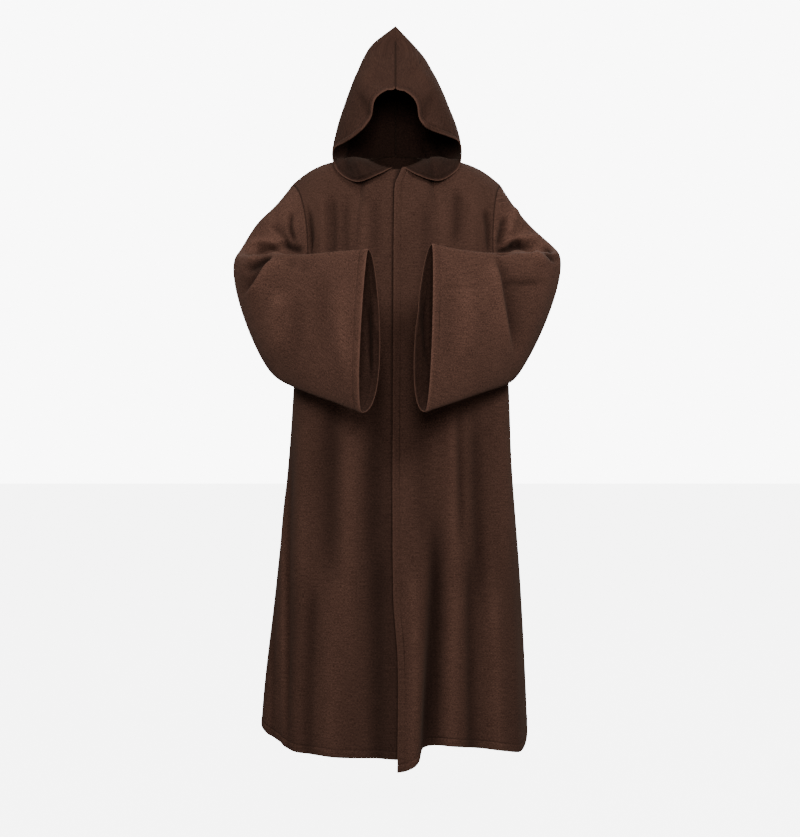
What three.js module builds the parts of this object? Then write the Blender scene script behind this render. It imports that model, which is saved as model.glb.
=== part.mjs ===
import * as THREE from 'three';

// A long hooded robe of coarse brown cloth, hollow and standing in the pose it is worn in.
// Millimetres. +X is the picture's right, -Y is the front, +Z is up.
// The origin is the base of the neck, in the middle between the shoulders.

const WALL = 1.8; // thickness of the cloth
const SEAM_GAP = 0.36; // clear space between two pieces at a seam
const ROUGHNESS = 0.95; // of the woven cloth
const RIGHT_ANGLE = Math.PI / 2;
const DEGREE = Math.PI / 180;

// The two sides of the robe, as they lie in the picture.
const RIGHT = -1; // the robe's own right side, at the picture's left
const LEFT = 1;
const FRONT = -1;
const BACK = 1;

// Level rings of the body, from under the arms down. half is half of the width, front and back
// are the depths before and behind the side seams, shift is the sideways place of the middle.
const RINGS = [
  { z: -400, half: 257, front: 136, back: 148, shift: 13 },
  { z: -540, half: 265, front: 142, back: 152, shift: 14 },
  { z: -715, half: 274, front: 150, back: 160, shift: 11 },
  { z: -1015, half: 300, front: 176, back: 188, shift: 7 },
  { z: -1260, half: 320, front: 203, back: 214, shift: 0 },
  { z: -1450, half: 330, front: 221, back: 232, shift: -3 },
];
const RING_SQUARE = 2.4; // 2 makes a ring an ellipse, more makes it squarer
const CHEST_Z = RINGS[0].z; // the level of the underarm, where the rings begin

// The hem, as heights against the share of the way from the front edge to the side seam.
const HEM_RIGHT = [
  { share: 0, z: -1413 },
  { share: 0.3, z: -1411 },
  { share: 0.5, z: -1404 },
  { share: 0.64, z: -1386 },
  { share: 0.8, z: -1358 },
  { share: 1, z: -1334 },
];
const HEM_LEFT = [
  { share: 0, z: -1443 },
  { share: 0.053, z: -1437 },
  { share: 0.104, z: -1421 },
  { share: 0.15, z: -1391 },
  { share: 0.22, z: -1384 },
  { share: 0.34, z: -1389 },
  { share: 0.5, z: -1402 },
  { share: 0.68, z: -1414 },
  { share: 0.84, z: -1396 },
  { share: 1, z: -1358 },
];
const HEM_BACK_Z = -1396;

// The largest folds of the skirt. at is the place round the ring in degrees from the front
// middle towards the picture's right, width is half of the fold's width in degrees, out is how
// far it stands out at the hem, top is where it starts and lean is how many degrees it has
// moved at the hem.
const FOLDS = [
  { at: -12, width: 7, out: -7, top: -700, lean: 0 },
  { at: -32, width: 8, out: -10, top: -560, lean: 0 },
  { at: -58, width: 6, out: -12, top: -760, lean: 3 },
  { at: -72, width: 8, out: 9, top: -800, lean: 3 },
  { at: 8, width: 9, out: 14, top: -760, lean: -1 },
  { at: 20, width: 6, out: -20, top: -700, lean: -4 },
  { at: 30, width: 6, out: 8, top: -640, lean: -2 },
  { at: 40, width: 6, out: -9, top: -560, lean: 0 },
  { at: 56, width: 9, out: 9, top: -700, lean: 0 },
  { at: 118, width: 9, out: -13, top: -620, lean: 0 },
  { at: 147, width: 10, out: 11, top: -760, lean: 2 },
  { at: 172, width: 8, out: -14, top: -560, lean: 3 },
  { at: 198, width: 9, out: 11, top: -700, lean: -2 },
  { at: 226, width: 8, out: -12, top: -640, lean: 0 },
  { at: 250, width: 8, out: 8, top: -780, lean: -2 },
];

// The front edges, as sideways places against the height. The left front laps over the right.
const OVER_EDGE = [
  { z: 0, x: 17 },
  { z: -14, x: 7 },
  { z: -30, x: -1 },
  { z: -70, x: -4 },
  { z: -300, x: -7 },
  { z: -1020, x: -6 },
  { z: -1190, x: 5 },
  { z: -1450, x: 4 },
];
const UNDER_EDGE_X = 30;
const LAP_DROP = 3.2; // how far the under edge is moved in from the common surface
const LAP_SPREAD = 120; // how far from the middle that has died out
const PROBE = 0.05; // a short step along a panel, for finding where its edge lies

// The neckline, where the hood is sewn on, and the shoulder seams.
const NECK_HALF = 75;
const NECK_FRONT = { y: -88, z: -8 };
const NECK_SIDE_Z = 25;
const NECK_BACK = { y: 75, z: 45 };
const NECK_SHARE = 0.3; // share of a panel's top line that is neckline
const SHOULDER = {
  [RIGHT]: { x: -254, z: -37 },
  [LEFT]: { x: 259, z: -39 },
};
const SHOULDER_CURVE = 2.9; // 1 makes the shoulder seam straight, more rounds it at its end

// The columns of the upper part are curves from the top line to the underarm level. leave is how
// a curve starts and rise how it arrives: inwards to the middle, out before or behind, and up.
const NECK_COLUMN = { leave: [0, 24, -52], rise: [0, 0, 175] };
const SHOULDER_COLUMN = { leave: [0, 76, -8], rise: [0, 0, 175] };
const ARMHOLE_COLUMN = {
  [RIGHT]: {
    [FRONT]: { leave: [54, 112, -36], rise: [44, 112, 66] },
    [BACK]: { leave: [40, 122, -36], rise: [34, 130, 66] },
  },
  [LEFT]: {
    [FRONT]: { leave: [34, 112, -36], rise: [42, 112, 66] },
    [BACK]: { leave: [34, 122, -36], rise: [42, 130, 66] },
  },
};
const SHOULDER_REACH = 0.36; // share of a panel where the shoulder's form has taken over
const ARMHOLE_REACH = 0.45; // share of a panel where the armhole's form begins to show

// The sleeves by stations from armhole to cuff. top and low are the ends of the flattened loop,
// heading is the way the sleeve runs in the plan, in degrees from +X, inner is the half width
// towards the body, outer the half width away from it and lower the share of them at the low end.
const SLEEVE_RIGHT = [
  { top: [-295, 3, -86], low: [-276, -4, -424], heading: 187, inner: 64, outer: 76, lower: 0.7 },
  { top: [-330, -4, -139], low: [-290, -16, -456], heading: 205, inner: 58, outer: 66, lower: 0.7 },
  { top: [-364, -24, -188], low: [-292, -40, -486], heading: 240, inner: 50, outer: 56, lower: 0.7 },
  { top: [-370, -66, -214], low: [-288, -66, -508], heading: 276, inner: 44, outer: 50, lower: 0.7 },
  { top: [-342, -112, -221], low: [-276, -98, -522], heading: 308, inner: 40, outer: 48, lower: 0.7 },
  { top: [-288, -152, -222], low: [-250, -132, -536], heading: 324, inner: 38, outer: 42, lower: 0.7 },
  { top: [-218, -198, -228], low: [-206, -178, -554], heading: 327, inner: 38, outer: 32, lower: 0.9 },
  { top: [-140, -246, -226], low: [-138, -232, -578], heading: 326, inner: 38, outer: 22, lower: 1.3 },
  { top: [-62, -290, -224], low: [-76, -294, -602], heading: 323, inner: 38, outer: 12, lower: 2 },
];
const SLEEVE_LEFT = [
  { top: [297, 3, -95], low: [292, -4, -424], heading: 187, inner: 64, outer: 76, lower: 0.7 },
  { top: [334, -4, -141], low: [296, -16, -456], heading: 205, inner: 58, outer: 66, lower: 0.7 },
  { top: [370, -24, -182], low: [292, -40, -486], heading: 240, inner: 50, outer: 56, lower: 0.7 },
  { top: [380, -66, -206], low: [284, -66, -508], heading: 276, inner: 44, outer: 50, lower: 0.7 },
  { top: [350, -112, -214], low: [278, -98, -524], heading: 308, inner: 40, outer: 48, lower: 0.7 },
  { top: [296, -152, -218], low: [254, -132, -538], heading: 324, inner: 38, outer: 42, lower: 0.7 },
  { top: [226, -198, -224], low: [210, -178, -552], heading: 327, inner: 38, outer: 32, lower: 0.9 },
  { top: [154, -246, -222], low: [146, -232, -574], heading: 326, inner: 38, outer: 22, lower: 1.2 },
  { top: [84, -290, -212], low: [68, -294, -600], heading: 323, inner: 37, outer: 12, lower: 1.7 },
];
const RIM_FROM = 0.55; // the level of the armhole where a sleeve's rim leaves the panel's
const LOOP_FULL = 0.85; // 1 makes a loop's flanks a sine, less makes them fuller

// The hood by rows from the neckline to the peak. edge is the end at the face opening or, above
// it, on the seam in the middle, side is the widest place and back is on the middle seam behind.
// flare is how strongly a row leaves its front end sideways.
const HOOD_RIGHT = [
  { edge: [-42, -99, -27], side: [-108, 0, 30], back: [99, 40], flare: 0.3 },
  { edge: [-94, -78, -41], side: [-134, 4, 24], back: [116, 48], flare: 0.2 },
  { edge: [-139, -50, -15], side: [-151, 10, 27], back: [126, 68], flare: 0.1 },
  { edge: [-154, -24, 20], side: [-157, 18, 44], back: [131, 92], flare: 0 },
  { edge: [-150, -32, 50], side: [-154, 22, 70], back: [134, 116], flare: 0 },
  { edge: [-110, -64, 63], side: [-148, 20, 96], back: [136, 140], flare: 0.1 },
  { edge: [-80, -84, 85], side: [-141, 18, 122], back: [136, 165], flare: 0.2 },
  { edge: [-60, -89, 118], side: [-131, 18, 152], back: [134, 192], flare: 0.2 },
  { edge: [-52, -90, 152], side: [-120, 20, 184], back: [129, 218], flare: 0.3 },
  { edge: [-41, -88, 168], side: [-112, 22, 206], back: [125, 236], flare: 0.4 },
  { edge: [-21, -82, 182], side: [-104, 25, 228], back: [120, 252], flare: 0.6 },
  { edge: [0, -74, 189], side: [-95, 27, 248], back: [115, 268], flare: 0.8 },
  { edge: [0, -38, 236], side: [-80, 35, 284], back: [106, 292], flare: 0.8 },
  { edge: [0, 4, 282], side: [-56, 45, 322], back: [97, 315], flare: 0.8 },
  { edge: [0, 38, 322], side: [0, 68, 371], back: [87, 340], flare: 0 },
];
const HOOD_LEFT = [
  { edge: [52, -97, -27], side: [110, 0, 30], back: [99, 40], flare: 0.3 },
  { edge: [104, -75, -38], side: [137, 4, 24], back: [116, 48], flare: 0.2 },
  { edge: [145, -48, -14], side: [155, 10, 27], back: [126, 68], flare: 0.1 },
  { edge: [161, -24, 18], side: [163, 18, 44], back: [131, 92], flare: 0 },
  { edge: [156, -28, 66], side: [161, 22, 74], back: [134, 116], flare: 0 },
  { edge: [106, -64, 78], side: [155, 20, 100], back: [136, 140], flare: 0.1 },
  { edge: [74, -84, 91], side: [146, 18, 126], back: [136, 165], flare: 0.2 },
  { edge: [59, -89, 112], side: [134, 18, 155], back: [134, 192], flare: 0.2 },
  { edge: [53, -90, 142], side: [122, 20, 186], back: [129, 218], flare: 0.3 },
  { edge: [43, -88, 162], side: [113, 22, 206], back: [125, 236], flare: 0.4 },
  { edge: [23, -82, 179], side: [103, 25, 228], back: [120, 252], flare: 0.6 },
  { edge: [0, -74, 189], side: [92, 27, 248], back: [115, 268], flare: 0.8 },
  { edge: [0, -38, 236], side: [72, 35, 284], back: [106, 292], flare: 0.8 },
  { edge: [0, 4, 282], side: [44, 47, 320], back: [97, 315], flare: 0.8 },
  { edge: [0, 38, 322], side: [0, 68, 371], back: [87, 340], flare: 0 },
];
const HOOD_START = { [RIGHT]: -0.1, [LEFT]: 0.24 }; // neckline angle where each half starts
const HOOD_LEAVE = { depth: 0.2, rise: 0.3 }; // how a row leaves its front end, in shares of its run
const HOOD_TURN_RISE = 0.2; // how much a row has climbed where it leaves the side for the back
const HOOD_SIDE_PULL = 0.45; // how far along it a row comes straight at its widest place
const HOOD_BACK_PULL = 0.55; // how far along it a row comes straight at the middle seam behind

// How finely the pieces are divided.
const FRONT_COLUMNS = 16;
const BACK_COLUMNS = 26;
const YOKE_ROWS = 12; // a sleeve has twice as many columns, which meet these rows
const SKIRT_ROWS = 11;
const SLEEVE_ALONG = 17;
const HOOD_FRONT_STEPS = 6;
const HOOD_BACK_STEPS = 6;
const HOOD_ROWS = 21;

const COLOURS = {
  front_right: 0x4a3228,
  front_left: 0x533a2f,
  back: 0x452e25,
  sleeve_right: 0x4e362b,
  sleeve_left: 0x573c31,
  hood_right: 0x5c4034,
  hood_left: 0x634538,
};

const point = (x, y, z) => new THREE.Vector3(x, y, z);
const mix = (a, b, share) => a + (b - a) * share;

function ease(value) {
  const share = Math.min(Math.max(value, 0), 1);
  return share * share * (3 - 2 * share);
}

// A smooth curve through a table's rows: the value of one column where the key has a value.
function along(rows, key, column, value) {
  const rising = rows[rows.length - 1][key] > rows[0][key] ? 1 : -1;
  const last = rows.length - 2;
  let i = 0;
  while (i < last && (value - rows[i + 1][key]) * rising > 0) {
    i += 1;
  }
  const slope = (a, b) => (rows[b][column] - rows[a][column]) / (rows[b][key] - rows[a][key]);
  const before = i > 0 ? slope(i - 1, i + 1) : slope(i, i + 1);
  const after = i < last ? slope(i, i + 2) : slope(i, i + 1);
  const span = rows[i + 1][key] - rows[i][key];
  const t = Math.min(Math.max((value - rows[i][key]) / span, 0), 1);
  const held = ease(t);
  const rise = t * (1 - t) * ((1 - t) * before - t * after) * span;
  return mix(rows[i][column], rows[i + 1][column], held) + rise;
}

function bezier(a, b, c, d, t) {
  const s = 1 - t;
  return point(0, 0, 0)
    .addScaledVector(a, s * s * s)
    .addScaledVector(b, 3 * s * s * t)
    .addScaledVector(c, 3 * s * t * t)
    .addScaledVector(d, t * t * t);
}

// How a line of points runs on at one of them. At an open end the curve of the line is carried on.
function running(line, i, closed) {
  const last = line.length - 1;
  if (closed) {
    return line[(i + 1) % line.length].clone().sub(line[(i + last) % line.length]);
  }
  if (i === 0 || i === last) {
    const step = i === 0 ? 1 : -1;
    return line[i].clone().multiplyScalar(-3 * step)
      .addScaledVector(line[i + step], 4 * step)
      .addScaledVector(line[i + 2 * step], -step);
  }
  return line[i + 1].clone().sub(line[i - 1]);
}

// The direction a grid of points faces at one of them.
function facing(grid, row, column, closed = false) {
  const across = running(grid[row], column, closed);
  const down = running(grid.map((line) => line[column]), row, false);
  return down.cross(across).normalize();
}

// A closed wall of cloth from a grid of points on its outer side. The grid's rows run down and
// its columns run so that the outside is seen with the first column at the left. fit may move the
// points of the inner side, and rim turns the directions that the first row's points face.
function wall(name, grid, { closed = false, fit = (at) => at, rim = [] } = {}) {
  const rows = grid.length;
  const columns = grid[0].length;
  const direction = (i, j) => {
    const own = facing(grid, i, j, closed);
    return i === 0 && rim[j] ? rim[j](own) : own;
  };
  const inside = grid.map((line, i) => line.map((at, j) => (
    fit(at.clone().addScaledVector(direction(i, j), -WALL)))));
  const positions = [...grid.flat(), ...inside.flat()].flatMap((at) => at.toArray());
  const outer = (i, j) => i * columns + (j % columns);
  const inner = (i, j) => rows * columns + outer(i, j);
  const faces = [];
  const quad = (a, b, c, d) => faces.push(a, b, c, a, c, d);
  const cells = closed ? columns : columns - 1;
  for (let i = 0; i < rows - 1; i += 1) {
    for (let j = 0; j < cells; j += 1) {
      quad(outer(i, j), outer(i + 1, j), outer(i + 1, j + 1), outer(i, j + 1));
      quad(inner(i, j), inner(i, j + 1), inner(i + 1, j + 1), inner(i + 1, j));
    }
  }
  for (let j = 0; j < cells; j += 1) {
    quad(outer(0, j), outer(0, j + 1), inner(0, j + 1), inner(0, j));
    quad(outer(rows - 1, j), inner(rows - 1, j), inner(rows - 1, j + 1), outer(rows - 1, j + 1));
  }
  if (!closed) {
    for (let i = 0; i < rows - 1; i += 1) {
      quad(outer(i, 0), inner(i, 0), inner(i + 1, 0), outer(i + 1, 0));
      quad(outer(i, cells), outer(i + 1, cells), inner(i + 1, cells), inner(i, cells));
    }
  }
  const geometry = new THREE.BufferGeometry();
  geometry.setAttribute('position', new THREE.Float32BufferAttribute(positions, 3));
  geometry.setIndex(faces);
  geometry.computeVertexNormals();
  const material = new THREE.MeshStandardMaterial({ color: COLOURS[name], roughness: ROUGHNESS });
  material.name = name;
  const mesh = new THREE.Mesh(geometry, material);
  mesh.name = name;
  return mesh;
}

// Moves the first and last columns of a grid in from the seams they share.
function drawInSides(grid, distance) {
  for (const line of grid) {
    const last = line.length - 1;
    const first = line[1].clone().sub(line[0]).normalize();
    const final = line[last - 1].clone().sub(line[last]).normalize();
    line[0].addScaledVector(first, distance);
    line[last].addScaledVector(final, distance);
  }
}

function drawInTop(grid, distance) {
  grid[0].forEach((at, j) => {
    at.addScaledVector(grid[1][j].clone().sub(at).normalize(), distance);
  });
}

// How far the skirt's folds move a place outwards. angle is in radians from the front middle.
function foldOut(z, angle) {
  let out = 0;
  for (const fold of FOLDS) {
    const grown = ease((fold.top - z) / (fold.top - HEM_BACK_Z));
    const centre = fold.at + fold.lean * grown;
    const turns = angle / DEGREE - centre;
    const apart = (turns - 360 * Math.round(turns / 360)) / fold.width;
    out += fold.out * grown * Math.exp(-apart * apart);
  }
  return out;
}

function ringPoint(z, angle) {
  const ring = (column) => along(RINGS, 'z', column, z);
  const sine = Math.sin(angle);
  const cosine = Math.cos(angle);
  const round = (Math.abs(sine) ** RING_SQUARE + Math.abs(cosine) ** RING_SQUARE)
    ** (-1 / RING_SQUARE);
  const depth = cosine > 0 ? ring('front') : ring('back');
  const out = foldOut(z, angle);
  return point(
    ring('shift') + ring('half') * round * sine + out * sine,
    -depth * round * cosine - out * cosine,
    z,
  );
}

// The neckline: angle runs from the front middle round to the back middle.
function neckPoint(angle) {
  const end = Math.cos(angle) > 0 ? NECK_FRONT : NECK_BACK;
  const share = Math.abs(Math.cos(angle));
  return point(
    NECK_HALF * Math.sin(angle),
    end.y * share,
    mix(NECK_SIDE_Z, end.z, share * share),
  );
}

// The top line of a panel, from the middle to the shoulder's end: neckline, then shoulder seam.
function topLine(side, face, share) {
  const end = SHOULDER[side];
  if (share < NECK_SHARE) {
    const turn = RIGHT_ANGLE * (share / NECK_SHARE);
    return neckPoint(side * (face === FRONT ? turn : 2 * RIGHT_ANGLE - turn));
  }
  const way = (share - NECK_SHARE) / (1 - NECK_SHARE);
  return point(
    mix(side * NECK_HALF, end.x, way),
    0,
    mix(NECK_SIDE_Z, end.z, way ** SHOULDER_CURVE),
  );
}

// The angle round the ring of a place on a panel, counted from its middle (0) to its side (1).
function ringAngle(side, face, place) {
  return side * (face === FRONT ? place : 2 - place) * RIGHT_ANGLE;
}

// The upper part of a panel, over the shoulder and down to the level of the underarm.
function yokePoint(side, face, place, down) {
  const way = Math.abs(place);
  const top = topLine(side, face, place);
  const base = ringPoint(CHEST_Z, ringAngle(side, face, place));
  const onShoulder = ease(way / SHOULDER_REACH);
  const atArmhole = ease((way - ARMHOLE_REACH) / (1 - ARMHOLE_REACH));
  const handle = (from, name) => {
    const inner = NECK_COLUMN[name].map((value, k) => (
      mix(value, SHOULDER_COLUMN[name][k], onShoulder)));
    const [inwards, out, up] = inner.map((value, k) => (
      mix(value, ARMHOLE_COLUMN[side][face][name][k], atArmhole)));
    return from.clone().add(point(-side * inwards, face * out, up));
  };
  return bezier(top, handle(top, 'leave'), handle(base, 'rise'), base, down);
}

// The armhole line. turn runs from the shoulder (0) over the front to the underarm (half a turn)
// and back over the back.
function armhole(side, turn) {
  const down = turn / Math.PI;
  return down <= 1 ? yokePoint(side, FRONT, 1, down) : yokePoint(side, BACK, 1, 2 - down);
}

function hemHeight(side, face, share) {
  if (face === FRONT) {
    return along(side === LEFT ? HEM_LEFT : HEM_RIGHT, 'share', 'z', share);
  }
  const edge = side === LEFT ? HEM_LEFT : HEM_RIGHT;
  return mix(HEM_BACK_Z, edge[edge.length - 1].z, ease(share));
}

// A place on the body. place runs from the panel's middle to its side, level from the top line
// (0) to the underarm (1) and on to the hem (2).
function bodyPoint(side, face, place, level) {
  if (level <= 1) {
    return yokePoint(side, face, place, level);
  }
  const z = mix(CHEST_Z, hemHeight(side, face, Math.max(place, 0)), level - 1);
  return ringPoint(z, ringAngle(side, face, place));
}

// The place where a front's edge lies at a level.
function edgePlace(side, level, edgeAt) {
  const middle = bodyPoint(side, FRONT, 0, level);
  const beside = bodyPoint(side, FRONT, PROBE, level);
  return PROBE * (edgeAt(middle.z) - middle.x) / (beside.x - middle.x);
}

// Keeps a panel's points on their own side of the shoulder and side seams.
const keptTo = (face) => (at) => at.setY(face * Math.max(face * at.y, SEAM_GAP / 2));

// The levels of a panel's rows, closer together over the shoulder than in the skirt.
function panelLevels() {
  const levels = [];
  for (let i = 0; i < YOKE_ROWS; i += 1) {
    levels.push(i / YOKE_ROWS);
  }
  for (let i = 0; i <= SKIRT_ROWS; i += 1) {
    levels.push(1 + i / SKIRT_ROWS);
  }
  return levels;
}

// Moves the middle of a front in from the surface that the two fronts share.
function dropLap(grid, drop) {
  const moves = grid.map((line, i) => line.map((at, j) => (
    facing(grid, i, j).multiplyScalar(-drop * (1 - ease(-at.x / LAP_SPREAD))))));
  grid.forEach((line, i) => line.forEach((at, j) => at.add(moves[i][j])));
}

function frontPanel(name, side, edgeAt, drop) {
  const grid = panelLevels().map((level) => {
    const line = [];
    const start = edgePlace(side, level, edgeAt);
    for (let j = 0; j <= FRONT_COLUMNS; j += 1) {
      line.push(bodyPoint(side, FRONT, mix(start, 1, j / FRONT_COLUMNS), level));
    }
    return side === RIGHT ? line.reverse() : line;
  });
  dropLap(grid, drop);
  drawInSides(grid, SEAM_GAP / 2);
  drawInTop(grid, SEAM_GAP / 2);
  const fit = keptTo(FRONT);
  grid.flat().forEach(fit);
  return wall(name, grid, { fit });
}

function backPanel(name) {
  const grid = panelLevels().map((level) => {
    const line = [];
    for (let j = 0; j <= BACK_COLUMNS; j += 1) {
      const share = 1 - (2 * j) / BACK_COLUMNS;
      line.push(bodyPoint(share < 0 ? RIGHT : LEFT, BACK, Math.abs(share), level));
    }
    return line;
  });
  drawInSides(grid, SEAM_GAP / 2);
  drawInTop(grid, SEAM_GAP / 2);
  const fit = keptTo(BACK);
  grid.flat().forEach(fit);
  return wall(name, grid, { fit });
}

// A smooth line through points, at a place counted in points.
function through(points, place) {
  const last = points.length - 1;
  const i = Math.min(Math.floor(place), last - 1);
  const t = place - i;
  const ahead = points[i + 1].clone().sub(points[Math.max(i - 1, 0)]);
  const beyond = points[Math.min(i + 2, last)].clone().sub(points[i]);
  if (i > 0) {
    ahead.multiplyScalar(0.5);
  }
  if (i + 2 <= last) {
    beyond.multiplyScalar(0.5);
  }
  return points[i].clone().lerp(points[i + 1], ease(t))
    .addScaledVector(ahead, t * (1 - t) * (1 - t))
    .addScaledVector(beyond, -t * t * (1 - t));
}

// A place on a sleeve's loop at a station. turn runs from the top over the side towards the body
// to the low end and back over the other side.
function stationPoint(side, station, turn) {
  const share = (1 - Math.cos(turn)) / 2;
  const heading = station.heading * DEGREE;
  const flank = Math.sin(turn);
  const half = flank > 0 ? station.inner : station.outer;
  const out = Math.sign(flank) * Math.abs(flank) ** LOOP_FULL * half * mix(1, station.lower, share);
  const sideways = point(side * Math.sin(heading), Math.cos(heading), 0);
  return point(...station.top).lerp(point(...station.low), share).addScaledVector(sideways, out);
}

// The direction a panel faces at its armhole.
function armholeFacing(side, face, level) {
  const near = Math.max(level - PROBE, 0);
  const down = bodyPoint(side, face, 1, Math.min(level + PROBE, 1))
    .sub(bodyPoint(side, face, 1, near));
  const across = bodyPoint(side, face, 1, level).sub(bodyPoint(side, face, 1 - PROBE, level));
  return down.cross(across).multiplyScalar(-side * face).normalize();
}

function sleeve(name, side, stations) {
  const grid = [];
  for (let i = 0; i <= SLEEVE_ALONG; i += 1) {
    grid.push([]);
  }
  const rim = [];
  const around = 2 * YOKE_ROWS;
  for (let j = 0; j < around; j += 1) {
    const column = side === RIGHT ? j : (around - j) % around;
    const turn = (2 * Math.PI * column) / around;
    const points = [armhole(side, turn)];
    for (const station of stations) {
      points.push(stationPoint(side, station, turn));
    }
    for (let i = 0; i <= SLEEVE_ALONG; i += 1) {
      grid[i].push(through(points, (i / SLEEVE_ALONG) * stations.length));
    }
    const level = 1 - Math.abs(1 - turn / Math.PI);
    const panel = armholeFacing(side, turn <= Math.PI ? FRONT : BACK, level);
    if (column === 0) {
      panel.add(armholeFacing(side, BACK, level)).normalize();
    }
    const own = ease((level - RIM_FROM) / (1 - RIM_FROM));
    rim.push((direction) => panel.clone().lerp(direction, own).normalize());
  }
  drawInTop(grid, SEAM_GAP);
  return wall(name, grid, { closed: true, rim });
}

// A place on a row of the hood. share runs from its front end over the side (0.5) to the back.
function hoodRowPoint(row, share) {
  const edge = point(...row.edge);
  const side = point(...row.side);
  const back = point(0, ...row.back);
  if (share <= 0.5) {
    const run = side.clone().sub(edge);
    const sideways = mix(HOOD_SIDE_PULL, 1, row.flare);
    const leave = point(run.x * sideways, run.y * HOOD_LEAVE.depth, run.z * HOOD_LEAVE.rise);
    const arrive = side.clone().sub(point(0, run.y * HOOD_SIDE_PULL, 0));
    return bezier(edge, edge.clone().add(leave), arrive, side, share * 2);
  }
  const run = back.clone().sub(side);
  const leave = side.clone().add(point(0, run.y * HOOD_BACK_PULL, run.z * HOOD_TURN_RISE));
  const arrive = back.clone().sub(point(run.x * HOOD_BACK_PULL, 0, 0));
  return bezier(side, leave, arrive, back, share * 2 - 1);
}

function hoodHalf(name, side, rows) {
  const columns = [];
  const steps = HOOD_FRONT_STEPS + HOOD_BACK_STEPS;
  for (let j = 0; j <= steps; j += 1) {
    const share = j < HOOD_FRONT_STEPS
      ? (0.5 * j) / HOOD_FRONT_STEPS
      : 0.5 + (0.5 * (j - HOOD_FRONT_STEPS)) / HOOD_BACK_STEPS;
    const turn = mix(side * HOOD_START[side], Math.PI, share);
    const points = [neckPoint(side * turn)];
    for (const row of rows) {
      points.push(hoodRowPoint(row, share));
    }
    columns.push(points);
  }
  const grid = [];
  for (let i = HOOD_ROWS; i >= 0; i -= 1) {
    const line = columns.map((points) => through(points, (i / HOOD_ROWS) * rows.length));
    grid.push(side === RIGHT ? line.reverse() : line);
  }
  grid[HOOD_ROWS].forEach((at) => at.setZ(at.z + SEAM_GAP));
  const fit = (at) => at.setX(side * Math.max(side * at.x, SEAM_GAP / 2));
  grid.flat().forEach(fit);
  return wall(name, grid, { fit });
}

const overEdge = (z) => along(OVER_EDGE, 'z', 'x', z);
const underEdge = () => UNDER_EDGE_X;

const robe = new THREE.Group();
robe.name = 'hooded_robe';
robe.add(
  frontPanel('front_right', RIGHT, underEdge, LAP_DROP),
  frontPanel('front_left', LEFT, overEdge, 0),
  backPanel('back'),
  sleeve('sleeve_right', RIGHT, SLEEVE_RIGHT),
  sleeve('sleeve_left', LEFT, SLEEVE_LEFT),
  hoodHalf('hood_right', RIGHT, HOOD_RIGHT),
  hoodHalf('hood_left', LEFT, HOOD_LEFT),
);

export default robe;
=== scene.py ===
"""The looks of a long hooded robe of coarse brown cloth, on the frame of its solids."""

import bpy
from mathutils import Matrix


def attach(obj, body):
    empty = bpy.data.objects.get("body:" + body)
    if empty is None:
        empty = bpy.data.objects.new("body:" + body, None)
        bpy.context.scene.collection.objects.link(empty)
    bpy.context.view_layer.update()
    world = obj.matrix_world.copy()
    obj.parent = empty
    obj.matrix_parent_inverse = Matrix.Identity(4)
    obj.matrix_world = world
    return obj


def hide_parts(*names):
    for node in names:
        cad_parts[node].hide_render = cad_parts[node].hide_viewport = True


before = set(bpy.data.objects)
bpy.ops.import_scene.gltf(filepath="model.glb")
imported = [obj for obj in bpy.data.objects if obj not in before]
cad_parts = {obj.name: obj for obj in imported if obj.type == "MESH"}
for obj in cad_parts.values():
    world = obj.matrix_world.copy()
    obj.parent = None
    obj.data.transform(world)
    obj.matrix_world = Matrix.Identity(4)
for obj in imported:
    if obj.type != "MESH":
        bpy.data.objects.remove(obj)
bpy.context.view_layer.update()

import logging
import math
from dataclasses import dataclass, field
from enum import Enum

import bpy
import numpy as np
from mathutils import Vector

LOG = logging.getLogger("robe")
METRES = 0.001  # sizes below are in millimetres
CLOTH = 1.8  # thickness of the cloth
RIGHT_ANGLE = math.pi / 2
WHOLE_TURN = 360.0  # in degrees
TINY = 1e-9  # stands in for a length of 0 where one divides
SHARP = math.radians(50)  # an edge that turns more than this stays sharp
MARKS = ("stitch_gap", "stitch_run", "edge_near", "seam_near", "raised", "tucked", "inner_side")
CREASE_POINTS = 24  # points along a crease's line
CREASE_FADE = 0.3  # share of a crease's length in which it comes up, at each end
FOLD_STEEPNESS = 2.6  # how steep the step of a folded crease is
TURN_FULL = 0.4  # how much cloth faces a crease's side where it is creased in full
SEAM_HOLD = 12.0  # how far from a seam the cloth is free to crease
FAR_OFF = 9.0  # the distance that stands for none, in metres
CAMERA = {"x": 11.0, "away": 4200.0, "z": -614.0, "lens": 73.16}
Array = np.ndarray


class Side(Enum):
    """The robe's own sides, as signs along X."""

    RIGHT = -1
    LEFT = 1


class Face(Enum):
    """The front and the back of the robe, as signs along Y."""

    FRONT = -1
    BACK = 1


def mix(a: Array | float, b: Array | float, share: Array | float) -> Array | float:
    """Return the value a share of the way from a to b."""
    return a + (b - a) * share


def ease(value: Array | float) -> Array | float:
    """Return 0 to 1 with soft ends, for a value from 0 to 1."""
    share = np.clip(value, 0, 1)
    return share * share * (3 - 2 * share)


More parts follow.
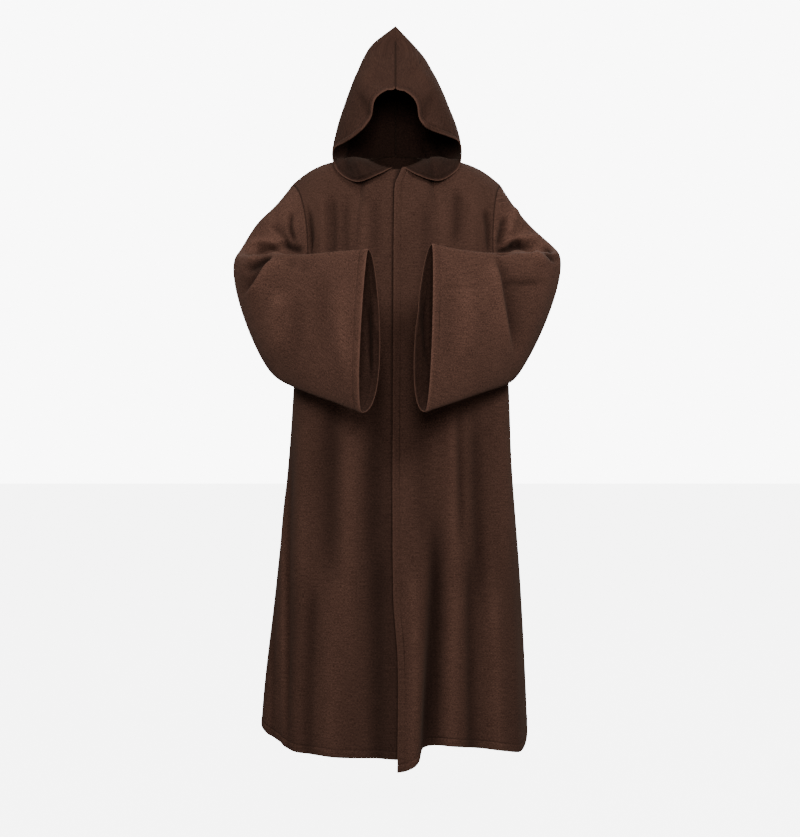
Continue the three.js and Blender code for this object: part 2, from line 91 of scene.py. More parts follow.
class Table:
    """A short table of sizes with named columns, read along a smooth curve."""

    def __init__(self, columns: str, *rows: tuple[float, ...]) -> None:
        """Keep the rows, sorted by the first column.

        Args:
            columns: the names of the columns, with the key first.
            rows: one tuple for each row.
        """
        self.names = columns.split()
        self.rows = np.array(sorted(rows), float)

    def at(self, column: str, value: Array | float) -> Array:
        """Read one column where the key has a value.

        Args:
            column: the name of the column.
            value: the key's value or values.

        Returns:
            The column's values there.
        """
        keys = self.rows[:, 0]
        values = self.rows[:, self.names.index(column)]
        slopes = np.empty(len(keys))
        slopes[1:-1] = (values[2:] - values[:-2]) / (keys[2:] - keys[:-2])
        slopes[0] = (values[1] - values[0]) / (keys[1] - keys[0])
        slopes[-1] = (values[-1] - values[-2]) / (keys[-1] - keys[-2])
        at = np.clip(value, keys[0], keys[-1])
        i = np.clip(np.searchsorted(keys, at, side="right") - 1, 0, len(keys) - 2)
        span = keys[i + 1] - keys[i]
        t = (at - keys[i]) / span
        rise = t * (1 - t) * ((1 - t) * slopes[i] - t * slopes[i + 1]) * span
        return mix(values[i], values[i + 1], ease(t)) + rise


def bezier(a: Array, b: Array, c: Array, d: Array, t: Array) -> Array:
    """Return points on cubic curves, with t as a column of shares."""
    s = 1 - t
    return a * s**3 + b * 3 * s * s * t + c * 3 * s * t * t + d * t**3


def stack(x: Array | float, y: Array | float, z: Array | float) -> Array:
    """Return points from three coordinates, with the axes last."""
    return np.stack(np.broadcast_arrays(x, y, z), -1).astype(float)


def through(points: Array, places: Array) -> Array:
    """Carry smooth lines through rows of points.

    Args:
        points: rows of points, as rows by columns by three.
        places: where to read the lines, counted in rows.

    Returns:
        A point for each place and column.
    """
    last = len(points) - 1
    i = np.minimum(places.astype(int), last - 1)
    t = (places - i)[:, None, None]
    before = points[i + 1] - points[np.maximum(i - 1, 0)]
    after = points[np.minimum(i + 2, last)] - points[i]
    before = before * np.where(i > 0, 0.5, 1.0)[:, None, None]
    after = after * np.where(i + 2 <= last, 0.5, 1.0)[:, None, None]
    rise = before * t * (1 - t) ** 2 - after * t * t * (1 - t)
    return mix(points[i], points[i + 1], ease(t)) + rise


def lengths(grid: Array, axis: int) -> Array:
    """Return how far each point of a grid lies along its row (1) or column (0).

    Args:
        grid: points, as rows by columns by three.
        axis: 1 to go along the rows, 0 to go down the columns.

    Returns:
        The distance of each point from the first one of its row or column.
    """
    steps = np.linalg.norm(np.diff(grid, axis=axis), axis=-1)
    start = np.zeros_like(np.take(steps, [0], axis=axis))
    return np.concatenate([start, np.cumsum(steps, axis=axis)], axis=axis)


class Form(Enum):
    """The form of a crease across its line."""

    SOFT = "soft"
    FOLDED = "folded"  # one side stands over the other


@dataclass(frozen=True)
class Crease:
    """A trough, a ridge or a folded edge, as it is seen from the front or the back.

    path holds its points as X and Z in the plane of the side seams, width is half of its
    width, and out is how far it stands out, or less than 0 for a trough. Of a folded one
    the side to the left along the path stands out, or the other one where out is below 0.
    An inner one is worked into the cloth whose inner side is seen.
    """

    path: tuple[tuple[float, float], ...]
    width: float
    out: float
    face: Face = Face.FRONT
    form: Form = Form.SOFT
    inner: bool = False

    def line(self) -> Array:
        """Return the crease's path as a smooth line of points.

        Returns:
            The X and Z of points along the crease.
        """
        points = np.array(self.path, float)[:, None, :]
        if len(points) == 2:
            points = np.concatenate([points[:1], points.mean(0, keepdims=True), points[1:]])
        places = np.linspace(0, len(points) - 1, CREASE_POINTS)
        return through(points, places)[:, 0]

    def push(self, seen: Array, turned: Array) -> Array:
        """Say how far the crease moves points out of their surface.

        Args:
            seen: the points' X and Z as they are seen.
            turned: how much each point faces the crease's side, from -1 to 1.

        Returns:
            The distance for each point.
        """
        line = self.line()
        nearest = np.full(seen.shape[:-1], np.inf)
        share, leftward = np.zeros(nearest.shape), np.zeros(nearest.shape)
        for k, (start, end) in enumerate(zip(line[:-1], line[1:])):
            run = end - start
            t = np.clip(((seen - start) @ run) / (run @ run), 0, 1)
            gap = np.linalg.norm(seen - (start + t[..., None] * run), axis=-1)
            closer = gap < nearest
            nearest = np.where(closer, gap, nearest)
            share = np.where(closer, (k + t) / (len(line) - 1), share)
            beside = (seen - start) @ np.array([-run[1], run[0]])
            leftward = np.where(closer, np.sign(beside), leftward)
        fade = ease(share / CREASE_FADE) * ease((1 - share) / CREASE_FADE)
        apart = nearest / self.width
        profile = np.exp(-(apart**2))
        if self.form is Form.FOLDED:
            profile = leftward * np.tanh(FOLD_STEEPNESS * apart) * np.exp(-apart)
        return self.out * profile * fade * ease(turned / TURN_FULL)


class Edge(Enum):
    """The four edges of a sheet's grid."""

    TOP = "top"
    FOOT = "foot"
    START = "start"
    END = "end"


@dataclass(frozen=True)
class Trim:
    """What is sewn at an edge: a seam, or a hem as wide as its stitch line is far in.

    rows are the first and the last row of a trim that takes up only a part of its edge.
    """

    edge: Edge
    hem: float = 0.0
    rows: tuple[int, int] | None = None


@dataclass
class Sewing:
    """How seams and hems stand out of the cloth."""

    roll: float = 3.2  # how far in an edge is rounded
    roll_depth: float = 1.62  # how far its corner lies in
    seam_swell: float = 0.9
    seam_reach: float = 4.0
    hem_swell: float = 0.7
    stitch_dip: float = 1.1
    stitch_reach: float = 2.2

    def seam(self, inwards: Array) -> Array:
        """Return how far the cloth swells beside a seam, by the distance from it."""
        near = inwards / self.seam_reach
        return self.seam_swell * near * np.exp(1 - near)

    def hem(self, inwards: Array, width: float) -> Array:
        """Return how far a hem stands out, by the distance from its edge.

        Args:
            inwards: how far in from the edge the points lie.
            width: how far in the stitch line lies.

        Returns:
            The distance outwards for each point.
        """
        corner = 1 - np.clip(inwards / self.roll, 0, 1)
        rounded = -self.roll_depth * (1 - np.sqrt(1 - corner**2))
        band = self.hem_swell * np.sqrt(np.sin(math.pi * np.clip(inwards / width, 0, 1)))
        dip = self.stitch_dip * np.exp(-(((inwards - width) / self.stitch_reach) ** 2))
        return rounded + band - dip


SPACED_PROBES = 3000  # where steps are measured along a length
FINE_BAND = 22.0  # how wide the finely divided band at an edge is
FINE_FADE = 30.0  # how far in from it the steps have grown to the usual one


def spaced(length: float, step: float, start: float = 0, end: float = 0) -> Array:
    """Divide a length, more finely near its ends where that is wanted.

    Args:
        length: the whole length.
        step: the usual step.
        start: the step at the start, or 0 for the usual one.
        end: the step at the end, or 0 for the usual one.

    Returns:
        The places, as shares from 0 to 1.
    """
    x = np.linspace(0, length, SPACED_PROBES)
    size = np.full_like(x, step)
    for fine, away in ((start, x), (end, length - x)):
        if fine:
            size = np.minimum(size, mix(fine, step, ease((away - FINE_BAND) / FINE_FADE)))
    count = np.concatenate([[0], np.cumsum(np.diff(x) / size[1:])])
    return np.interp(np.linspace(0, count[-1], math.ceil(count[-1]) + 1), count, x / length)


@dataclass
class Sheet:
    """A sheet of cloth as a grid of points on its outer side, rows by columns."""

    name: str
    grid: Array
    trims: tuple[Trim, ...] = ()
    closed: bool = False
    level_row: int = -1  # the row that the cross threads follow
    raised: Array | float = 0.0  # how far folds and creases have moved each point out
    lengthwise: bool = False  # whether the cross threads run along the columns instead
    tucked: Array | float = 0.0  # painted shadow: 1 where another piece lies close over the cloth and would shade it, 0 elsewhere

    def normals(self) -> Array:
        """Return the direction the sheet faces at each point.

        Returns:
            A direction of length one for each point.
        """
        if self.closed:
            across = np.roll(self.grid, -1, 1) - np.roll(self.grid, 1, 1)
        else:
            across = np.gradient(self.grid, axis=1)
        down = np.gradient(self.grid, axis=0)
        facing = np.cross(down, across)
        return facing / np.maximum(np.linalg.norm(facing, axis=-1, keepdims=True), TINY)

    def seen(self, face: Face) -> Array:
        """Return the points' X and Z as they are seen from the front or the back.

        Args:
            face: the side that they are seen from.

        Returns:
            Where each point is seen in the plane of the side seams.
        """
        away = CAMERA["away"]
        scale = away / (away - face.value * self.grid[..., 1])
        x = (self.grid[..., 0] - CAMERA["x"]) * scale + CAMERA["x"]
        z = (self.grid[..., 2] - CAMERA["z"]) * scale + CAMERA["z"]
        return np.stack([x, z], -1)

    def press(self, creases: tuple[Crease, ...]) -> None:
        """Work creases into the sheet.

        Args:
            creases: the creases of this sheet.
        """
        facing = self.normals()
        out = np.zeros(self.grid.shape[:-1])
        for crease in creases:
            sign = -1 if crease.inner else 1
            turned = sign * facing[..., 1] * crease.face.value
            out += sign * crease.push(self.seen(crease.face), turned)
        out *= self.held()
        self.raised = self.raised + out
        self.grid = self.grid + facing * out[..., None]

    def held(self) -> Array:
        """Return 0 at the seams, where the next piece holds the cloth, and 1 away from them.

        Returns:
            The share for each point.
        """
        free = np.ones(self.grid.shape[:-1])
        for trim in self.trims:
            if not trim.hem:
                free *= ease(self.inwards(trim) / SEAM_HOLD)
        return free

    def around(self) -> Array:
        """Return the grid, with a closed sheet's first column once more at its end.

        Returns:
            The points, as rows by columns by three.
        """
        if not self.closed:
            return self.grid
        return np.concatenate([self.grid, self.grid[:, :1]], 1)

    def inwards(self, trim: Trim) -> Array:
        """Return how far each point lies from a trimmed edge.

        Args:
            trim: what is sewn at the edge.

        Returns:
            The distance for each point.
        """
        if trim.rows:
            return self.part_edge(trim)[0]
        axis = 0 if trim.edge in (Edge.TOP, Edge.FOOT) else 1
        gone = lengths(self.grid, axis)
        if trim.edge is Edge.FOOT:
            return gone[-1:] - gone
        return gone[:, -1:] - gone if trim.edge is Edge.END else gone

    def edge_way(self, trim: Trim) -> Array:
        """Return how far along a trimmed edge each point lies.

        Args:
            trim: what is sewn at the edge.

        Returns:
            The distance along the edge for each point.
        """
        if trim.rows:
            return self.part_edge(trim)[1]
        return lengths(self.grid, 1 if trim.edge in (Edge.TOP, Edge.FOOT) else 0)

    def part_edge(self, trim: Trim) -> tuple[Array, Array]:
        """Measure each point against a part of the first or the last column.

        Args:
            trim: a trim with rows of its own.

        Returns:
            The distances from that part, and the ways along it.
        """
        first, last = trim.rows
        line = self.grid[first:last + 1, 0 if trim.edge is Edge.START else -1]
        gaps = np.linalg.norm(self.grid[:, :, None, :] - line, axis=-1)
        way = lengths(line[:, None, :], 0)[:, 0]
        return gaps.min(-1), way[gaps.argmin(-1)]

    def sew(self, sewing: Sewing) -> dict[str, Array]:
        """Shape the seams and hems, and measure where they lie.

        Args:
            sewing: how seams and hems stand out.

        Returns:
            For each point the distances from the nearest seam, hem edge and stitch line, the
            way along that line and how far it is raised, in metres.
        """
        shape = self.grid.shape[:-1]
        out = np.zeros(shape)
        marks = {name: np.full(shape, FAR_OFF) for name in MARKS}
        for trim in self.trims:
            near = self.inwards(trim)
            out += sewing.hem(near, trim.hem) if trim.hem else sewing.seam(near)
            mark = "edge_near" if trim.hem else "seam_near"
            marks[mark] = np.minimum(marks[mark], near * METRES)
            if trim.hem:
                gap = np.abs(near - trim.hem) * METRES
                way = self.edge_way(trim)
                closer = gap < marks["stitch_gap"]
                marks["stitch_run"] = np.where(closer, way * METRES, marks["stitch_run"])
                marks["stitch_gap"] = np.where(closer, gap, marks["stitch_gap"])
        self.grid = self.grid + self.normals() * out[..., None]
        marks["raised"] = np.broadcast_to(self.raised * METRES, shape)
        marks["tucked"] = np.broadcast_to(self.tucked, shape)
        marks["inner_side"] = np.zeros(shape)
        return marks

    def build(self, material: bpy.types.Material, sewing: Sewing) -> bpy.types.Object:
        """Make the sheet a shell of cloth.

        Args:
            material: the finish of the cloth.
            sewing: how its seams and hems stand out.

        Returns:
            The finished object.
        """
        marks = self.sew(sewing)
        around = self.around()
        across, along = lengths(around, 1) * METRES, lengths(around, 0) * METRES
        if not self.closed:
            middle = np.abs(self.grid[:, :, 0]).argmin(1)
            across = across - np.take_along_axis(across, middle[:, None], 1)
        along = along - along[[self.level_row]]
        ways = (along, across) if self.lengthwise else (across, along)
        rows, columns = self.grid.shape[:2]
        cells = np.meshgrid(np.arange(rows - 1), np.arange(around.shape[1] - 1), indexing="ij")
        i, j = (cell.ravel() for cell in cells)
        corner_rows = np.stack([i, i + 1, i + 1, i], -1)
        corner_columns = np.stack([j, j, j + 1, j + 1], -1)
        faces = corner_rows * columns + corner_columns % columns
        mesh = bpy.data.meshes.new(self.name + "_cloth")
        mesh.from_pydata((self.grid.reshape(-1, 3) * METRES).tolist(), [], faces.tolist())
        uv = np.stack(ways, -1)[corner_rows, corner_columns]
        layer = mesh.uv_layers.new(name="thread_way")
        layer.data.foreach_set("uv", uv.reshape(-1).astype(np.float32))
        for name, values in marks.items():
            mark = mesh.attributes.new(name, "FLOAT", "POINT")
            mark.data.foreach_set("value", values.ravel().astype(np.float32))
        piece = bpy.data.objects.new(self.name + "_cloth", mesh)
        bpy.context.scene.collection.objects.link(piece)
        mesh.materials.append(material)
        thicken(piece)
        return piece


def pick(piece: bpy.types.Object) -> None:
    """Select one object alone and make it the active one.

    Args:
        piece: the object.
    """
    bpy.ops.object.select_all(action="DESELECT")
    piece.select_set(True)
    bpy.context.view_layer.objects.active = piece


def thicken(piece: bpy.types.Object) -> None:
    """Give a sheet its thickness, inwards, and smooth its faces.

    Args:
        piece: the sheet's object, with its outer side alone.
    """
    pick(piece)
    wall = piece.modifiers.new("cloth", "SOLIDIFY")
    wall.thickness = CLOTH * METRES
    wall.offset = -1
    outer = len(piece.data.vertices)
    bpy.ops.object.modifier_apply(modifier=wall.name)
    sides = (np.arange(len(piece.data.vertices)) >= outer).astype(np.float32)
    piece.data.attributes["inner_side"].data.foreach_set("value", sides)
    bpy.ops.object.shade_smooth_by_angle(angle=SHARP)


@dataclass(frozen=True)
class Cut:
    """How a piece of cloth is cut flat and how it hangs."""

    flat: tuple[float, float]
    area: float
    held: str
    rests_on: tuple[str, ...]


def declare(piece: bpy.types.Object, node: str) -> None:
    """Hang a piece on the root body and hide the solid that it stands for.

    Args:
        piece: the finished object.
        node: the name of its solid.
    """
    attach(piece, "root")
    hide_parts(node)


def handles(rows: dict[str, tuple[float, float, float]], name: str) -> Array:
    """Return one handle of a column, inwards, out and up."""
    return np.array(rows[name], float)


NECK_COLUMN = {"leave": (0, 24, -52), "rise": (0, 0, 175)}
SHOULDER_COLUMN = {"leave": (0, 76, -8), "rise": (0, 0, 175)}
ARMHOLE_COLUMN = {
    (Side.RIGHT, Face.FRONT): {"leave": (54, 112, -36), "rise": (44, 112, 66)},
    (Side.RIGHT, Face.BACK): {"leave": (40, 122, -36), "rise": (34, 130, 66)},
    (Side.LEFT, Face.FRONT): {"leave": (34, 112, -36), "rise": (42, 112, 66)},
    (Side.LEFT, Face.BACK): {"leave": (34, 122, -36), "rise": (42, 130, 66)},
}


@dataclass(frozen=True)
class Fold:
    """A fold of the skirt, which comes up below a height and is full at the hem."""

    at: float  # degrees round the skirt, from the front middle towards the left side
    width: float  # half of its width, in degrees
    out: float  # how far it stands out at the hem, or less than 0 for a trough
    top: float  # the height where it starts
    lean: float = 0.0  # how many degrees it has moved at the hem


@dataclass
class Body:
    """The two fronts and the back, from the neckline and the shoulders to the hem."""

    step: float = 6.2
    back_step: float = 6.696
    fine: float = 2.2
    yoke_length: float = 430.0
    skirt_length: float = 1020.0
    front_width: float = 400.0
    back_width: float = 880.0
    hem: float = 19.0
    edge_hem: float = 17.0
    ring_square: float = 2.4  # how near its level outlines come to squares
    chest_z: float = -400.0  # the height of the underarm
    back_hem_z: float = -1396.0
    neck_half: float = 75.0
    neck_side_z: float = 25.0
    neck_share: float = 0.3  # the share of the top line that is neckline
    neck_ends: dict[Face, tuple[float, float]] = field(
        default_factory=lambda: {Face.FRONT: (-88, -8), Face.BACK: (75, 45)})
    shoulder_ends: dict[Side, tuple[float, float]] = field(
        default_factory=lambda: {Side.RIGHT: (-254, -37), Side.LEFT: (259, -39)})
    shoulder_curve: float = 2.9  # how late a shoulder drops, on its way out
    shoulder_reach: float = 0.36  # where a panel's yoke takes the shoulder's form
    armhole_reach: float = 0.45  # where it starts to take the armhole's
    under_edge_x: float = 30.0  # where the edge of the front underneath lies
    lap_drop: float = 5.0  # how far that front lies in, so that the other clears it
    lap_spread: float = 120.0  # how far from the middle it has come out again
    painted_lap_shade_line: float = 4.5  # how wide the painted shadow line beside the lapping edge is
    painted_lap_shade_top: float = 9.0  # how much wider that line is at the neck
    painted_lap_shade_top_reach: float = 60.0  # how far down from the neck it is wider
    painted_lap_shade_share: float = 0.6  # how dark the painted shadow band is beside the line
    painted_lap_shade_reach: float = 76.0  # how wide that painted shadow band is, lower down
    painted_lap_shade_grows: float = 620.0  # how far down the skirt that band has come up in full
    probe: float = 0.05  # how far across a panel's slope is measured
    rings: Table = field(default_factory=lambda: Table(
        "z half front back shift",
        (-400, 257, 136, 148, 13),
        (-540, 265, 142, 152, 14),
        (-715, 274, 150, 160, 11),
        (-1015, 300, 176, 188, 7),
        (-1260, 320, 203, 214, 0),
        (-1450, 330, 221, 232, -3),
    ))
    hems: dict[Side, Table] = field(default_factory=lambda: {
        Side.RIGHT: Table(
            "share z",
            (0, -1413), (0.3, -1411), (0.5, -1404), (0.64, -1386), (0.8, -1358), (1, -1334),
        ),
        Side.LEFT: Table(
            "share z",
            (0, -1443), (0.053, -1437), (0.104, -1421), (0.15, -1391), (0.22, -1384),
            (0.34, -1389), (0.5, -1402), (0.68, -1414), (0.84, -1396), (1, -1358),
        ),
    })
    over_edge: Table = field(default_factory=lambda: Table(
        "z x",
        (0, 19), (-14, 13), (-28, 7), (-42, 0), (-70, -3), (-300, -5), (-1020, -6),
        (-1190, 5), (-1450, 4),
    ))
    folds: tuple[Fold, ...] = (
        Fold(-12, 7, -7, -700),
        Fold(-32, 8, -10, -560),
        Fold(-58, 6, -12, -760, 3),
        Fold(-72, 8, 9, -800, 3),
        Fold(8, 9, 14, -760, -1),
        Fold(20, 6, -20, -700, -4),
        Fold(30, 6, 8, -640, -2),
        Fold(40, 6, -9, -560),
        Fold(56, 9, 9, -700),
        Fold(118, 9, -13, -620),
        Fold(147, 10, 11, -760, 2),
        Fold(172, 8, -14, -560, 3),
        Fold(198, 9, 11, -700, -2),
        Fold(226, 8, -12, -640),
        Fold(250, 8, 8, -780, -2),
    )

    def fold_out(self, z: Array, angle: Array) -> Array:
        """Return how far the skirt's folds move places outwards.

        Args:
            z: the places' heights.
            angle: their angles from the front middle.

        Returns:
            The distance for each place.
        """
        out = np.zeros(np.broadcast(z, angle).shape)
        for fold in self.folds:
            grown = ease((fold.top - z) / (fold.top - self.back_hem_z))
            turns = np.degrees(angle) - fold.at - fold.lean * grown
            apart = (turns - WHOLE_TURN * np.round(turns / WHOLE_TURN)) / fold.width
            out = out + fold.out * grown * np.exp(-apart * apart)
        return out

    def ring_point(self, z: Array, angle: Array) -> Array:
        """Return points round the body at heights z, by the angle from the front middle.

        Args:
            z: the points' heights.
            angle: their angles, growing towards the left side.

        Returns:
            The points.
        """
        sine, cosine = np.sin(angle), np.cos(angle)
        power = self.ring_square
        rounded = (np.abs(sine) ** power + np.abs(cosine) ** power) ** (-1 / power)
        depth = np.where(cosine > 0, self.rings.at("front", z), self.rings.at("back", z))
        out = self.fold_out(z, angle)
        half = self.rings.at("half", z) * rounded + out
        return stack(
            self.rings.at("shift", z) + half * sine, -(depth * rounded + out) * cosine, z)

    def neck_point(self, angle: Array) -> Array:
        """Return points of the neckline, by the angle from the front middle.

        Args:
            angle: the points' angles, growing towards the left side.

        Returns:
            The points.
        """
        cosine = np.cos(angle)
        front, back = self.neck_ends[Face.FRONT], self.neck_ends[Face.BACK]
        y = np.where(cosine > 0, front[0], back[0]) * np.abs(cosine)
        z = mix(self.neck_side_z, np.where(cosine > 0, front[1], back[1]), cosine**2)
        return stack(self.neck_half * np.sin(angle), y, z)

    def top_line(self, side: Side, face: Face, share: Array) -> Array:
        """Return points of a panel's top line: neckline, then shoulder seam.

        Args:
            side: the robe's own side.
            face: the front or the back.
            share: shares of the way from the middle (0) to the shoulder's end (1).

        Returns:
            The points.
        """
        turn = RIGHT_ANGLE * share / self.neck_share
        turn = turn if face is Face.FRONT else 2 * RIGHT_ANGLE - turn
        neck = self.neck_point(side.value * turn)
        way = np.maximum((share - self.neck_share) / (1 - self.neck_share), 0)
        end_x, end_z = self.shoulder_ends[side]
        shoulder = stack(
            mix(side.value * self.neck_half, end_x, way), 0,
            mix(self.neck_side_z, end_z, way**self.shoulder_curve))
        return np.where((share < self.neck_share)[..., None], neck, shoulder)

    def ring_angle(self, side: Side, face: Face, place: Array) -> Array:
        """Return the angle of places on a panel, from its middle (0) to its side (1)."""
        return side.value * (place if face is Face.FRONT else 2 - place) * RIGHT_ANGLE

    def yoke_point(self, side: Side, face: Face, place: Array, down: Array) -> Array:
        """Return points over the shoulder, from the top line (0) to the underarm (1).

        Args:
            side: the robe's own side.
            face: the front or the back.
            place: places across, from the panel's middle (0) to its side (1).
            down: places down, from 0 to 1.

        Returns:
            The points.
        """
        place, down = np.broadcast_arrays(place, down)
        top = self.top_line(side, face, place)
        base = self.ring_point(
            np.full(place.shape, self.chest_z), self.ring_angle(side, face, place))
        on_shoulder = ease(np.abs(place) / self.shoulder_reach)[..., None]
        reach = self.armhole_reach
        at_armhole = ease((np.abs(place) - reach) / (1 - reach))[..., None]
        signs = np.array([-side.value, face.value, 1])
        ends = []
        for at, name in ((top, "leave"), (base, "rise")):
            inner = mix(handles(NECK_COLUMN, name), handles(SHOULDER_COLUMN, name), on_shoulder)
            full = mix(inner, handles(ARMHOLE_COLUMN[side, face], name), at_armhole)
            ends.append(at + full * signs)
        return bezier(top, ends[0], ends[1], base, down[..., None])

    def armhole(self, side: Side, turn: Array) -> Array:
        """Return points of the armhole, from the shoulder over the front and round.

        Args:
            side: the robe's own side.
            turn: angles round the armhole.

        Returns:
            The points.
        """
        down = turn / math.pi
        front = self.yoke_point(side, Face.FRONT, np.ones_like(down), np.minimum(down, 1))
        back = self.yoke_point(side, Face.BACK, np.ones_like(down), np.minimum(2 - down, 1))
        return np.where((down <= 1)[..., None], front, back)

    def hem_height(self, side: Side, face: Face, share: Array) -> Array:
        """Return the heights of the hem, by the share of the way to the side seam.

        Args:
            side: the robe's own side.
            face: the front or the back.
            share: shares of the way from the middle (0) to the side seam (1).

        Returns:
            The heights.
        """
        if face is Face.FRONT:
            return self.hems[side].at("z", share)
        return mix(self.back_hem_z, self.hems[side].rows[-1, 1], ease(share))

    def point(self, side: Side, face: Face, place: Array, level: Array) -> Array:
        """Return points of the body, with level 0 at the top line and 2 at the hem.

        Args:
            side: the robe's own side.
            face: the front or the back.
            place: places across, from the panel's middle (0) to its side (1).
            level: levels, with 1 at the underarm.

        Returns:
            The points.
        """
        place, level = np.broadcast_arrays(place, level)
        yoke = self.yoke_point(side, face, place, np.minimum(level, 1))
        low = self.hem_height(side, face, np.maximum(place, 0))
        z = mix(self.chest_z, low, np.maximum(level - 1, 0))
        skirt = self.ring_point(z, self.ring_angle(side, face, place))
        return np.where((level <= 1)[..., None], yoke, skirt)

    def levels(self) -> Array:
        """Return the levels of a panel's rows, as a column.

        Returns:
            The levels, from 0 to 2.
        """
        yoke = spaced(self.yoke_length, self.step, start=self.fine)
        skirt = spaced(self.skirt_length, self.step, end=self.fine)
        return np.concatenate([yoke[:-1], 1 + skirt])[:, None]

    def edge_place(self, side: Side, level: Array) -> Array:
        """Return the places where a front's own edge lies, for a column of levels.

        Args:
            side: the robe's own side.
            level: the levels.

        Returns:
            A place across for each level.
        """
        middle = self.point(side, Face.FRONT, np.zeros_like(level), level)
        beside = self.point(side, Face.FRONT, np.full_like(level, self.probe), level)
        wanted = self.under_edge_x
        if side is Side.LEFT:
            wanted = self.over_edge.at("x", middle[..., 2])
        return self.probe * (wanted - middle[..., 0]) / (beside[..., 0] - middle[..., 0])

    def front(self, side: Side) -> Sheet:
        """Return one front, with its edge hemmed and its other edges sewn.

        Args:
            side: the robe's own side.

        Returns:
            The sheet.
        """
        level = self.levels()
        start = self.edge_place(side, level)
        across = spaced(self.front_width, self.step, self.fine, self.fine)[None, :]
        grid = self.point(side, Face.FRONT, mix(start, 1, across), level)
        edges = Edge.START, Edge.END
        if side is Side.RIGHT:
            grid = grid[:, ::-1]
            edges = Edge.END, Edge.START
        trims = (Trim(edges[0], self.edge_hem), Trim(edges[1]), Trim(Edge.TOP),
                 Trim(Edge.FOOT, self.hem))
        chest = int(np.abs(level[:, 0] - 1).argmin())
        sheet = Sheet("front_" + side.name.lower(), grid, trims, level_row=chest)
        if side is Side.RIGHT:
            drop = self.lap_drop * (1 - ease(-grid[..., 0] / self.lap_spread))
            sheet.grid = grid - sheet.normals() * drop[..., None]
            # painted shadow beside the other front's lapping edge: a thin dark line, wider at
            # the neck, and a broad dim band down the skirt
            beside = np.maximum(self.over_edge.at("x", grid[..., 2]) - grid[..., 0], 0)
            skirt = ease((self.chest_z - grid[..., 2]) / self.painted_lap_shade_grows)
            band = self.painted_lap_shade_share * skirt * np.exp(-((beside / self.painted_lap_shade_reach) ** 2))
            at_neck = ease(1 + grid[..., 2] / self.painted_lap_shade_top_reach)
            line = self.painted_lap_shade_line + self.painted_lap_shade_top * at_neck
            sheet.tucked = np.maximum(band, np.exp(-((beside / line) ** 2)))
        return sheet

    def back(self) -> Sheet:
        """Return the back, from side seam to side seam.

        Returns:
            The sheet.
        """
        level = self.levels()
        share = 1 - 2 * spaced(self.back_width, self.back_step, self.fine, self.fine)[None, :]
        left = self.point(Side.LEFT, Face.BACK, np.maximum(share, 0), level)
        right = self.point(Side.RIGHT, Face.BACK, np.maximum(-share, 0), level)
        grid = np.where((share >= 0)[..., None], left, right)
        trims = (Trim(Edge.START), Trim(Edge.END), Trim(Edge.TOP), Trim(Edge.FOOT, self.hem))
        chest = int(np.abs(level[:, 0] - 1).argmin())
        return Sheet("back", grid, trims, level_row=chest)


@dataclass(frozen=True)
class Station:
    """One loop of a sleeve, between its highest and its lowest point."""

    top: tuple[float, float, float]
    low: tuple[float, float, float]
    heading: float  # the way its width lies, in degrees
    inner: float  # half of its width towards the body
    outer: float  # half of its width away from the body
    lower: float  # how wide it is near its lowest point, beside near its highest


@dataclass
class Sleeve:
    """A wide sleeve, bent at the elbow, from the armhole to the cuff."""

    side: Side
    stations: tuple[Station, ...]
    length: float = 470.0
    step: float = 4.2
    around: int = 200
    fine: float = 2.2
    hem: float = 19.0
    loop_full: float = 0.85

    def loop(self, row: Station, turn: Array) -> Array:
        """Return the loop of one station, from its top over the side next to the body.

        Args:
            row: the station.
            turn: angles round the sleeve.

        Returns:
            A point for each angle.
        """
        top, low = np.array(row.top, float), np.array(row.low, float)
        share = (1 - np.cos(turn)) / 2
        flank = np.sin(turn)
        half = np.where(flank > 0, row.inner, row.outer) * mix(1, row.lower, share)
        out = np.sign(flank) * np.abs(flank) ** self.loop_full * half
        way = math.radians(row.heading)
        sideways = np.array([self.side.value * math.sin(way), math.cos(way), 0])
        return mix(top, low, share[:, None]) + sideways * out[:, None]

    def sheet(self, body: Body) -> Sheet:
        """Return the sleeve's sheet, sewn to the body's armhole.

        Args:
            body: the body of the robe.

        Returns:
            The sheet.
        """
        turn = 2 * math.pi * np.arange(self.around) / self.around
        if self.side is Side.LEFT:
            turn = (2 * math.pi - turn) % (2 * math.pi)
        rows = [body.armhole(self.side, turn)]
        rows += [self.loop(row, turn) for row in self.stations]
        places = spaced(self.length, self.step, self.fine, self.fine)
        grid = through(np.array(rows), places * len(self.stations))
        trims = Trim(Edge.TOP), Trim(Edge.FOOT, self.hem)
        name = "sleeve_" + self.side.name.lower()
        return Sheet(name, grid, trims, closed=True, lengthwise=True)


